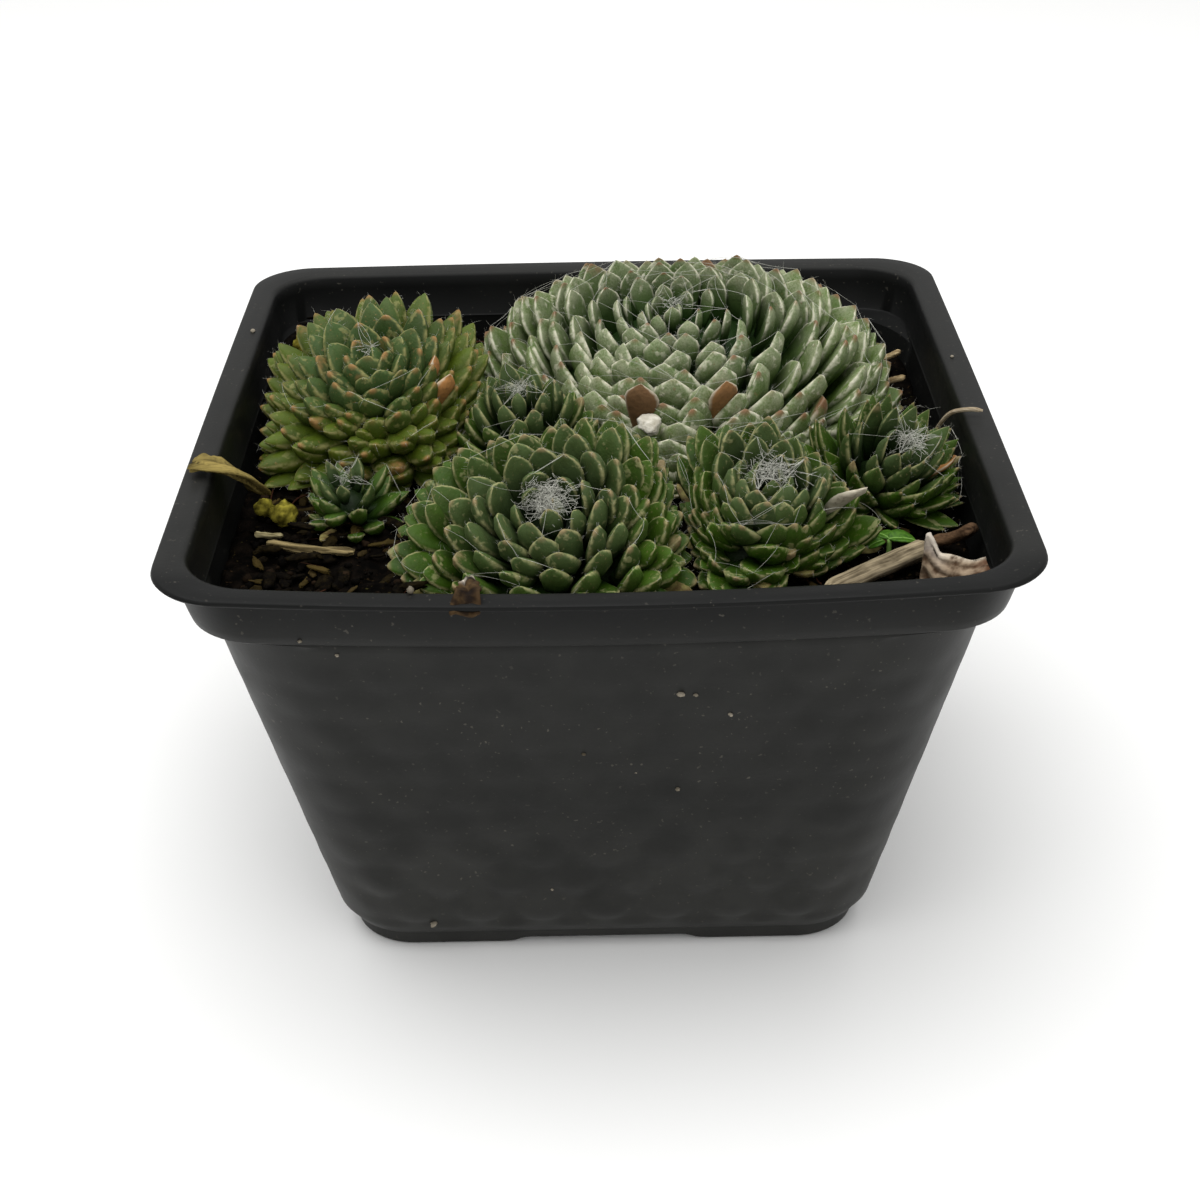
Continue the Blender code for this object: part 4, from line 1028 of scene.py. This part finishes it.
def hairs(roots, ways, lengths, radius, draw, curve=0.35):
    """Tapered hairs of four rings: each starts along its way and turns aside by a random bend."""
    share = np.linspace(0, 1, 4)[None, :, None]
    aside = draw.normal(0, curve, (len(roots), 1, 3))
    paths = roots[:, None] + (ways[:, None] * share + aside * share ** 2) * lengths[:, None, None]
    return tubes(paths, radius * np.array([1.0, 0.85, 0.6, 0.3]))


def threads(starts, ends, radius, draw, slack):
    """Threads of seven rings between two points, bowed by a parabola in a random direction."""
    share = np.linspace(0, 1, 7)[None, :, None]
    span = np.linalg.norm(ends - starts, axis=1)[:, None, None]
    bow = draw.normal(0, slack, (len(starts), 1, 3)) * span
    wave = draw.normal(0, slack * 0.25, (len(starts), 7, 3)) * span * share * (1 - share)
    paths = starts[:, None] * (1 - share) + ends[:, None] * share + bow * 4 * share * (1 - share) + wave
    return tubes(paths, np.full(7, radius))


def tangles(starts, step, radius, draw, flatness):
    """Woolly threads of nine rings: walks of even steps whose direction keeps turning at random,
    flattened by a factor along Z."""
    ways = draw.normal(0, 1, (len(starts), 1, 3)) + np.cumsum(draw.normal(0, 0.75, (len(starts), 9, 3)), 1)
    ways = unit(ways) * (1, 1, flatness)
    return tubes(starts[:, None] + np.cumsum(ways, 1) * step, np.full(9, radius))


hair_finish = white_hair()
for spec in ROSETTES:
    fringe_hairs, tuft_hairs, between, matted, spokes, mat_radius = WEBS[spec["name"]]
    draw = np.random.default_rng(spec["seed"] + 100)
    points, share = grown_rosettes[spec["name"]]
    axis = lean_matrix(spec) @ (0, 0, 1)
    rings = points[:, :-2].reshape(len(points), LEAF_ROWS, LEAF_AROUND, 3)
    tips = points[:, -1]
    middles = rings.mean(2)

    leaf = np.repeat(np.arange(len(points)), fringe_hairs)
    row = draw.integers(4, LEAF_ROWS - 1, len(leaf))
    side = draw.integers(0, 2, len(leaf)) * (LEAF_AROUND // 2)
    slide = draw.uniform(0, 1, (len(leaf), 1))
    roots = rings[leaf, row, side] * (1 - slide) + rings[leaf, row + 1, side] * slide
    outwards = unit(rings[leaf, row, side] - middles[leaf, row])
    forwards = unit(middles[leaf, row + 1] - middles[leaf, row])
    ways = outwards + forwards * 0.7 + draw.normal(0, 0.25, outwards.shape)
    fringe = hairs(roots, ways, draw.uniform(*FRINGE_LENGTH, len(leaf)), FRINGE_RADIUS, draw)

    young = np.flatnonzero(share < 0.97)
    leaf = np.repeat(young, tuft_hairs)
    ways = axis * 0.5 + draw.normal(0, 0.55, (len(leaf), 3))
    tufts = hairs(tips[leaf], ways, draw.uniform(*TUFT_LENGTH, len(leaf)), FRINGE_RADIUS, draw, 0.6)

    start = draw.integers(0, len(points), between)
    end = np.clip(start + draw.choice([3, 5, 8, 13], between), 0, len(points) - 1)
    apart = np.linalg.norm(tips[start] - tips[end], axis=1)
    near = (start != end) & (apart < 0.0020 + 0.24 * spec["reach"]) & (share[start] < 0.78)
    spans = threads(tips[start[near]], tips[end[near]], THREAD_RADIUS, draw, 0.035)

    crown = np.argsort(share)[:9]
    centre = tips[crown].mean(0) - axis * 0.0004
    spread = np.array([mat_radius, mat_radius, mat_radius * 0.22])
    starts = (draw.normal(0, 0.5, (matted, 3)) * spread) @ lean_matrix(spec).T + centre
    mat = tangles(starts, 0.00019, THREAD_RADIUS, draw, 0.5)
    hubs = (draw.normal(0, 0.5, (spokes, 3)) * spread) @ lean_matrix(spec).T + centre
    rays = threads(hubs, tips[draw.choice(crown, spokes)], THREAD_RADIUS, draw, 0.06)

    forms = [(strands, closed_faces(rows, 3, len(strands)), {})
             for strands, rows in ((fringe, 4), (tufts, 4), (spans, 7), (mat, 9), (rays, 7))]
    all_points, faces, _ = joined(forms)
    web = add_mesh("cobweb_" + spec["name"], all_points, faces, hair_finish)
    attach(web, "root")


# Wood, bark, straws and the dry stalk
# Weathered bits of plant that blew or fell into the pot, fibrous along their length and broken
# at both ends. They lie on the soil or over the left rim, and the stalk stands in the soil.

BARS = [
    {"name": "wood_stick", "slot": "weathered_wood", "half": (0.00100, 0.00095), "ragged": 0.17,
     "on_soil": True,
     "colours": ((0.030, 0.020, 0.010), (0.44, 0.36, 0.23)), "turn": 36,
     "path": ((0.0233, -0.0324, 0.0002), (0.0276, -0.0290, 0.0004), (0.0322, -0.0257, 0.0005),
              (0.0356, -0.0234, 0.0006))},
    {"name": "bark_bit", "slot": "brown_bark", "half": (0.00090, 0.00062), "ragged": 0.26, "on_soil": True,
     "colours": ((0.018, 0.009, 0.005), (0.13, 0.075, 0.04)), "turn": -40,
     "path": ((0.0366, -0.0206, 0.0000), (0.0387, -0.0222, 0.0016), (0.0402, -0.0240, 0.0036))},
    {"name": "bark_strip", "slot": "tan_bark", "half": (0.00130, 0.00034), "ragged": 0.95,
     "colours": ((0.010, 0.007, 0.003), (0.30, 0.23, 0.07)), "turn": 10,
     "path": ((-0.0442, -0.0150, 0.0568), (-0.0419, -0.0156, 0.0568), (-0.0397, -0.0146, 0.0551),
              (-0.0375, -0.0118, 0.0512))},
    {"name": "straw_front_left", "slot": "pale_straw", "half": (0.00052, 0.00036), "ragged": 0.60,
     "on_soil": True,
     "colours": ((0.030, 0.020, 0.008), (0.36, 0.28, 0.13)), "turn": -12,
     "path": ((-0.0365, -0.0184, 0.0), (-0.0318, -0.0200, 0.0), (-0.0267, -0.0206, 0.0))},
    {"name": "straw_short_left", "slot": "pale_straw", "half": (0.00030, 0.00028), "ragged": 0.50,
     "on_soil": True,
     "colours": ((0.08, 0.060, 0.020), (0.46, 0.40, 0.22)), "turn": -9,
     "path": ((-0.0382, -0.0160, 0.0), (-0.0350, -0.0165, 0.0))},
    {"name": "straw_back_right", "slot": "tan_bark", "half": (0.00062, 0.00035), "ragged": 0.12,
     "on_soil": True,
     "colours": ((0.14, 0.09, 0.04), (0.52, 0.40, 0.22)), "turn": -20,
     "path": ((0.0346, 0.0290, 0.0), (0.0373, 0.0282, 0.0012), (0.0393, 0.0272, 0.0026))},
    {"name": "straw_right", "slot": "tan_bark", "half": (0.00042, 0.00035), "ragged": 0.12, "on_soil": True,
     "colours": ((0.14, 0.09, 0.04), (0.52, 0.40, 0.22)), "turn": -30,
     "path": ((0.0363, 0.0232, 0.0), (0.0392, 0.0216, 0.0015))},
    {"name": "dry_stalk", "slot": "pale_straw", "half": (0.00023, 0.00023), "ragged": 0.10,
     "colours": ((0.16, 0.11, 0.06), (0.50, 0.43, 0.31)), "turn": -40,
     "path": ((0.0389, 0.0014, 0.0440), (0.0390, 0.0010, 0.0485), (0.0394, -0.0010, 0.0520),
              (0.0405, -0.0032, 0.0554), (0.0424, -0.0048, 0.0567), (0.0439, -0.0054, 0.0568))},
]
BAR_FULLNESS = 1.15
BAR_ROWS = 34
BAR_AROUND = 16


def path_through(places, count):
    """A Catmull-Rom curve through the places, read at evenly spaced shares."""
    places = np.asarray(places, float)
    padded = np.concatenate([[2 * places[0] - places[1]], places, [2 * places[-1] - places[-2]]])
    share = np.linspace(0, len(places) - 1, count)
    part = np.minimum(share.astype(int), len(places) - 2)
    t = (share - part)[:, None]
    a, b, c, d = (padded[part + step] for step in range(4))
    square = (2 * a - 5 * b + 4 * c - d) * t ** 2
    cube = (3 * b - a - 3 * c + d) * t ** 3
    return 0.5 * (2 * b + (c - a) * t + square + cube)


def bar_points(spec, seed):
    """An oval carried along a path: grooves by a noise round it, knots by a noise along it, the
    last twelfth at each end drawn in and broken off unevenly."""
    places = np.array(spec["path"])
    wide, deep = np.array(spec["half"]) * BAR_FULLNESS
    if spec.get("on_soil"):
        places[:, 2] += soil_height(places[:, 0], places[:, 1]) + deep + GAP
    path = path_through(places, BAR_ROWS)
    ahead = unit(np.gradient(path, axis=0))
    across = unit(np.cross(ahead, (0, 0, 1.0)))
    up = np.cross(across, ahead)
    turn = -turns_round(BAR_AROUND)
    share = np.linspace(0, 1, BAR_ROWS)[:, None]
    taper = 1 - 0.45 * smooth(0.08, 0.0, share) - 0.45 * smooth(0.92, 1.0, share)
    around = np.stack([np.cos(turn) + 0 * share, np.sin(turn) + 0 * share, share * 1.6 + 0 * turn], -1)
    groove = lumpiness(around * (1.0, 1.0, 0.5), 0.42, seed) + 0.5 * lumpiness(around, 0.21, seed + 1)
    size = taper * (1 + spec["ragged"] * groove)
    ring = (across[:, None] * (np.cos(turn) * wide * size)[..., None]
            + up[:, None] * (np.sin(turn) * deep * size)[..., None])
    return with_ends((path[:, None] + ring)[None]), groove


def fibrous(spec):
    """Dead plant fibre: light ridges and dark grooves along the piece, with a dull surface."""
    paint = Paint(spec["name"] + "_fibre", {"Specular IOR Level": 0.08})
    fibre = paint.noise(1.0, 3.0, paint.along_grain(math.radians(spec["turn"]), 0.0030, 0.00022))
    blotch = paint.noise(0.0015, 2.0)
    dark, light = spec["colours"]
    ridges = fibre * 0.7 + paint.value("ridge") * 0.45 + blotch * 0.3 - 0.25
    colour = paint.mix(ridges.ramp(0.15, 0.80), dark, light)
    return paint.finish(colour, 0.82 + fibre * 0.1, fibre + blotch, 0.00012, 0.7)


for number, spec in enumerate(BARS):
    points, groove = bar_points(spec, 40 + number)
    ridge = np.append(np.ravel(groove) * 0.5 + 0.5, (0.3, 0.3))
    piece = add_mesh(spec["name"] + "_piece", points, closed_faces(BAR_ROWS, BAR_AROUND), fibrous(spec),
                     ridge=ridge)
    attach(piece, "root")
    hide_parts(spec["name"])


# Grit lumps
# Three crumbly yellow lumps of slow-release fertiliser and one pale chunk of perlite, each
# lying where it fell.

# A centre at height 0 stands for a lump that lies on the soil
LUMPS = [
    {"name": "yellow_lump_large", "slot": "yellow_grit", "centre": (-0.0352, -0.0128, 0.0),
     "radius": 0.0016, "seed": 3},
    {"name": "yellow_lump_small", "slot": "yellow_grit", "centre": (-0.0378, -0.0106, 0.0),
     "radius": 0.0012, "seed": 5},
    {"name": "yellow_lump_back", "slot": "yellow_grit", "centre": (-0.0374, 0.0282, 0.0),
     "radius": 0.0014, "seed": 8},
    {"name": "white_grit", "slot": "white_grit", "centre": (0.0062, -0.0027, 0.0545), "radius": 0.0015,
     "seed": 9,
     "cuts": 9},
]
LUMP_COLOURS = {"yellow_grit": ((0.030, 0.026, 0.003), (0.30, 0.26, 0.035)),
                "white_grit": ((0.30, 0.27, 0.20), (0.70, 0.67, 0.58))}
FLAT_SHARE = 0.62
LUMP_ROWS = 14
LUMP_AROUND = 20


def lump_points(centre, radius, seed, cuts):
    """A ball whose radius swells and shrinks by a coarse and a fine noise, flattened below and
    broken off flat by a number of planes in random directions."""
    ball = ball_rings((np.arange(LUMP_ROWS) + 0.5) / LUMP_ROWS * np.pi, LUMP_AROUND)
    points = with_ends(ball[None], BALL_ENDS[None])
    swell = 0.80 + 0.42 * np.abs(lumpiness(points, 0.8, seed)) + 0.20 * lumpiness(points, 0.33, seed + 1)
    points = points * (swell * radius)[..., None]
    points[..., 2] = np.maximum(points[..., 2], -radius * FLAT_SHARE)
    draw = np.random.default_rng(seed)
    for way in draw.normal(0, 1, (cuts, 3)):
        beyond = np.maximum(0, points @ unit(way) - radius * draw.uniform(0.50, 0.72))
        points = points - beyond[..., None] * unit(way)
    return points + centre, lumpiness(points / radius, 0.3, seed + 2) * 0.5 + 0.5


for spec in LUMPS:
    x, y, z = spec["centre"]
    if z == 0:
        z = soil_height(x, y) + spec["radius"] * FLAT_SHARE + GAP
    points, tone = lump_points(np.array((x, y, z)), spec["radius"], spec["seed"], spec.get("cuts", 0))
    dark, light = LUMP_COLOURS[spec["slot"]]
    piece = add_mesh(spec["name"] + "_piece", points, closed_faces(LUMP_ROWS, LUMP_AROUND),
                     gritty(spec["name"] + "_crust", dark, light, 0.0005), tone=tone)
    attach(piece, "root")
    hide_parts(spec["name"])


# Curled dry leaf and leaf scrap
# A dead leaf standing on its edge by the front right corner, striped along its veins and curled
# at its left end, and a crumpled brown scrap that hangs over the front rim.

CURL_PLACE = (0.0336, -0.0312, 0.0474)
CURL_SPAN = (0.0066, -0.0030, 0.0034)
CURL_HEIGHTS = (0.0070, 0.0042)
CURL_THICK = 0.0004
SCRAP_PLACE = (-0.0128, -0.0441)
SCRAP_HALF = (0.0014, 0.0019)
SCRAP_THICK = 0.0003


def sheet(middle, thick):
    """A thin closed sheet: a grid moved half its thickness along its normals to either side, the
    rim joined all round. Gives points and faces, right-handed where rows cross columns upwards."""
    rows, columns = middle.shape[:2]
    normal = unit(np.cross(np.gradient(middle, axis=1), np.gradient(middle, axis=0)))
    points = np.stack([middle + normal * thick / 2, middle - normal * thick / 2])
    grid = np.arange(rows * columns).reshape(rows, columns)
    front = np.stack([grid[:-1, :-1], grid[:-1, 1:], grid[1:, 1:], grid[1:, :-1]], -1).reshape(-1, 4)
    back = front[:, ::-1] + rows * columns
    rim = np.concatenate([grid[0, :-1], grid[:-1, -1], grid[-1, :0:-1], grid[:0:-1, 0]])
    after = np.roll(rim, -1)
    edge = np.stack([after, rim, rim + rows * columns, after + rows * columns], -1)
    return points, np.concatenate([front, back, edge]).tolist()


def dry_blade(name, dark, light, red, stripe):
    """Papery dead leaf: stripes along the veins, blotches, a redder end, and paler at the top edge and
    over the upper part of the first end.
    """
    paint = Paint(name, {"Specular IOR Level": 0.10})
    across, up = paint.value("across"), paint.value("up")
    phase = up * stripe + paint.noise(0.0012, 2.0) * 6.0
    veins = phase.maths("SINE", phase)
    blotch = paint.noise(0.0011, 3.0)
    colour = paint.mix((veins * 0.14 + blotch).ramp(0.25, 0.85), dark, light)
    colour = paint.mix(across.ramp(0.66, 1.0) * 0.40, colour, red)
    colour = paint.mix(up.ramp(0.84, 0.97) * blotch.ramp(0.30, 0.60) * 0.75, colour, (0.60, 0.53, 0.42))
    colour = paint.mix(up.ramp(0.55, 1.0) * across.ramp(0.45, 0.05) * 0.7, colour, (0.66, 0.60, 0.52))
    return paint.finish(colour, 0.70 + blotch * 0.15, veins + blotch * 2.0, 0.0001, 0.6)


across = np.linspace(0, 1, 41)[None, :]
up = np.linspace(0, 1, 17)[:, None]
high, low = CURL_HEIGHTS
height = low * (1 - 0.45 * across) + (high - low) * np.exp(-((across - 0.04) / 0.13) ** 2)
bend = 0.0011 * np.cos(np.pi * across) - 0.0009 * np.sin(np.pi * across)
bow = np.sin(np.pi * np.minimum(1, up * 1.15))
lean = 0.0012 * up * up + bend * (1 - 0.4 * up) - 0.0013 * bow * np.sin(np.pi * across)
lean = lean + 0.00016 * np.sin(up * 24 + across * 5) * np.minimum(1, up * 4)
slip = 0.0006 * up * (1 - 2 * across)
top_edge = 1 - 0.05 * np.sin(across * 9 + 1) * up
foot = 0.0001 + 0.0010 * across * (1 - up)
middle = np.stack([CURL_PLACE[0] + CURL_SPAN[0] * across + slip,
                   CURL_PLACE[1] + CURL_SPAN[1] * across + lean,
                   CURL_PLACE[2] + CURL_SPAN[2] * across + foot + height * up * top_edge], -1)
points, faces = sheet(middle, CURL_THICK)
both = np.ones((2, 1, 1))
curled = add_mesh("curled_leaf", points, faces,
                  dry_blade("dead_leaf", (0.065, 0.036, 0.019), (0.33, 0.25, 0.17),
                            (0.14, 0.055, 0.028), 26.0),
                  across=both * (across + 0 * up), up=both * (up + 0 * across))
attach(curled, "root")
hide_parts("curled_dry_leaf")

across = np.linspace(0, 1, 21)[None, :]
along = np.linspace(0, 1, 29)[:, None]
x, y = SCRAP_PLACE
taper = 1 - 0.55 * along ** 1.5
ragged = 1 + 0.10 * np.sin(along * 19)
crumple = (0.0002 * (1 + np.sin(7 * across + 4 * along))
           + 0.00012 * np.sin(15 * across) * np.sin(11 * along))
over_rim = smooth(0.30, 0.0, along)
middle = np.stack([x + SCRAP_HALF[0] * (2 * across - 1) * taper * ragged - 0.0003 * over_rim,
                   y + SCRAP_HALF[1] * (2 * along - 1) - 0.0006 * over_rim + 0 * across,
                   RIM_Z + GAP + SCRAP_THICK / 2 + 0.00005 + crumple - 0.0016 * over_rim ** 1.3], -1)
points, faces = sheet(middle, SCRAP_THICK)
scrap = add_mesh("scrap_on_rim", points, faces,
                 dry_blade("brown_scrap", (0.008, 0.004, 0.002), (0.085, 0.050, 0.020),
                           (0.05, 0.028, 0.012), 9.0),
                 across=both * (across + 0 * along), up=both * (along + 0 * across))
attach(scrap, "root")
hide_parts("leaf_scrap")


# Seedling
# A weed seedling that has come up between stick and rosette: a thin pale stem and three small
# round leaflets, bright green with a fold down the middle.

SEEDLING_PLACE = (0.0315, -0.0221)
SEEDLING_TOP = 0.0494
SEEDLING_FOOT = 0.0440
SEEDLING_STEM = 0.0004
STEM_AROUND = 8
LEAFLET_AROUND = 22
LEAFLET_HALF_THICK = 0.00016

# Share of the radius and of the half thickness for each ring of a leaflet
LEAFLET_RINGS = ((0.3, -1), (0.65, -1), (0.92, -0.8), (1.0, -0.35), (1.0, 0.35), (0.92, 0.8),
                 (0.65, 1), (0.3, 1), (0.1, 1))

# Distance from the stem, direction in degrees and radius of each leaflet
SEEDLING_LEAFLETS = ((0.0015, 12, 0.0016), (0.0013, 118, 0.0012), (0.0017, 205, 0.0010))


def leaflet_points(x, y, distance, degrees, radius):
    """A thin round leaflet: rings from the under side's middle to the rim and back over the top,
    folded along its middle line and drooping outwards. Gives points and their fold numbers."""
    turn = turns_round(LEAFLET_AROUND)
    ring_share, rise = np.array(LEAFLET_RINGS).T[..., None]
    rise = rise * LEAFLET_HALF_THICK
    out = ring_share * radius * np.cos(turn)
    aside = ring_share * radius * 0.92 * np.sin(turn)
    level = rise + 0.28 * np.abs(aside) - 0.10 * (out + radius) ** 2 / radius
    out = out + distance
    angle = math.radians(degrees)
    points = np.stack([x + out * math.cos(angle) - aside * math.sin(angle),
                       y + out * math.sin(angle) + aside * math.cos(angle), SEEDLING_TOP + level], -1)
    fold = np.stack([ring_share * np.abs(np.sin(turn))] * 3, -1)
    return with_ends(points[None]), with_ends(fold[None])[..., 0]


def fresh_green():
    """Tender leaf skin: bright green, lighter along the fold."""
    paint = Paint("fresh_green", {"Specular IOR Level": 0.25})
    cells = paint.noise(0.0004, 2.0)
    colour = paint.mix(cells.ramp(0.3, 0.7), (0.026, 0.085, 0.004), (0.060, 0.160, 0.010))
    colour = paint.mix(paint.value("fold").ramp(0.12, 0.0) * 0.5, colour, (0.36, 0.60, 0.16))
    return paint.finish(colour, 0.42 + cells * 0.12, cells, 0.00003, 0.4)


x, y = SEEDLING_PLACE
stem_path = np.array([[(x, y, SEEDLING_FOOT), (x, y, 0.0470), (x, y, 0.0490), (x, y, SEEDLING_TOP)]])
stem = tubes(stem_path, SEEDLING_STEM * np.array([1.0, 0.8, 0.7, 0.7]), STEM_AROUND)
forms = [(stem, closed_faces(4, STEM_AROUND), {"fold": 0.0})]
for distance, degrees, radius in SEEDLING_LEAFLETS:
    points, fold = leaflet_points(x, y, distance, degrees, radius)
    forms.append((points, closed_faces(len(LEAFLET_RINGS), LEAFLET_AROUND), {"fold": fold}))
points, faces, values = joined(forms)
seedling = add_mesh("weed_seedling", points, faces, fresh_green(), **values)
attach(seedling, "root")
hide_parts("seedling")


# Floor, light and camera
# A plain pale floor under soft white light from all round and a large lamp overhead; the
# camera looks down on the front of the pot as in the photograph.

FLOOR_HALF = 1.5
CAMERA_PLACE = (-0.000365, -0.219373, 0.155525)
CAMERA_YAW = math.radians(-0.115)
CAMERA_PITCH = math.radians(29.812)
CAMERA_ROLL = math.radians(-0.981)
CAMERA_LENS = 62.036


def add_floor():
    """A square of pale matt board with a trace of unevenness."""
    paint = Paint("pale_board", {"Specular IOR Level": 0.1})
    cloud = paint.noise(0.25, 2.0)
    surface = paint.finish(paint.mix(cloud, (0.88, 0.88, 0.87), (0.92, 0.92, 0.91)), 0.9 + cloud * 0.05)
    corners = np.array([(-1, -1, 0), (1, -1, 0), (1, 1, 0), (-1, 1, 0)]) * FLOOR_HALF - (0, 0, 0.0001)
    add_mesh("floor", corners, [[0, 1, 2, 3]], surface)


def add_light(name, place, size, power):
    """A square soft lamp aimed at the middle of the plant."""
    lamp = bpy.data.lights.new(name, "AREA")
    lamp.size = size
    lamp.energy = power
    thing = bpy.data.objects.new(name, lamp)
    back = unit(np.array(place) - (0, 0, 0.04))
    side = unit(np.cross((0.0, 1.0, 0.0), back))
    put_at(thing, place, side, np.cross(back, side), back)
    bpy.context.scene.collection.objects.link(thing)


def put_at(thing, place, right, up, back):
    """Give an object its place and the directions of its own X, Y and Z."""
    rows = np.stack([right, up, back, place], 1)
    thing.matrix_world = Matrix(np.vstack([rows, (0, 0, 0, 1)]).tolist())


def add_camera():
    """The camera at its place, turned by its three angles: yaw, then pitch down, then roll."""
    yaw, pitch, roll = CAMERA_YAW, CAMERA_PITCH, CAMERA_ROLL
    ahead = np.array([-math.sin(yaw) * math.cos(pitch), math.cos(yaw) * math.cos(pitch), -math.sin(pitch)])
    right = np.array([math.cos(yaw), math.sin(yaw), 0.0])
    up = np.cross(right, ahead)
    right, up = right * math.cos(roll) + up * math.sin(roll), up * math.cos(roll) - right * math.sin(roll)
    camera = bpy.data.objects.new("camera", bpy.data.cameras.new("camera"))
    camera.data.lens = CAMERA_LENS
    camera.data.sensor_width = 36.0
    camera.data.clip_start = 0.01
    put_at(camera, CAMERA_PLACE, right, up, -ahead)
    bpy.context.scene.collection.objects.link(camera)
    bpy.context.scene.camera = camera


add_floor()
world = bpy.data.worlds.new("soft_white")
world.use_nodes = True
world.node_tree.nodes["Background"].inputs["Color"].default_value = (1.0, 1.0, 1.0, 1.0)
world.node_tree.nodes["Background"].inputs["Strength"].default_value = 0.62
bpy.context.scene.world = world
bpy.context.scene.view_settings.view_transform = "Standard"
add_light("overhead", (-0.08, -0.02, 0.62), 0.80, 4.6)
add_light("front_fill", (0.25, -0.60, 0.35), 0.40, 0.7)
add_camera()
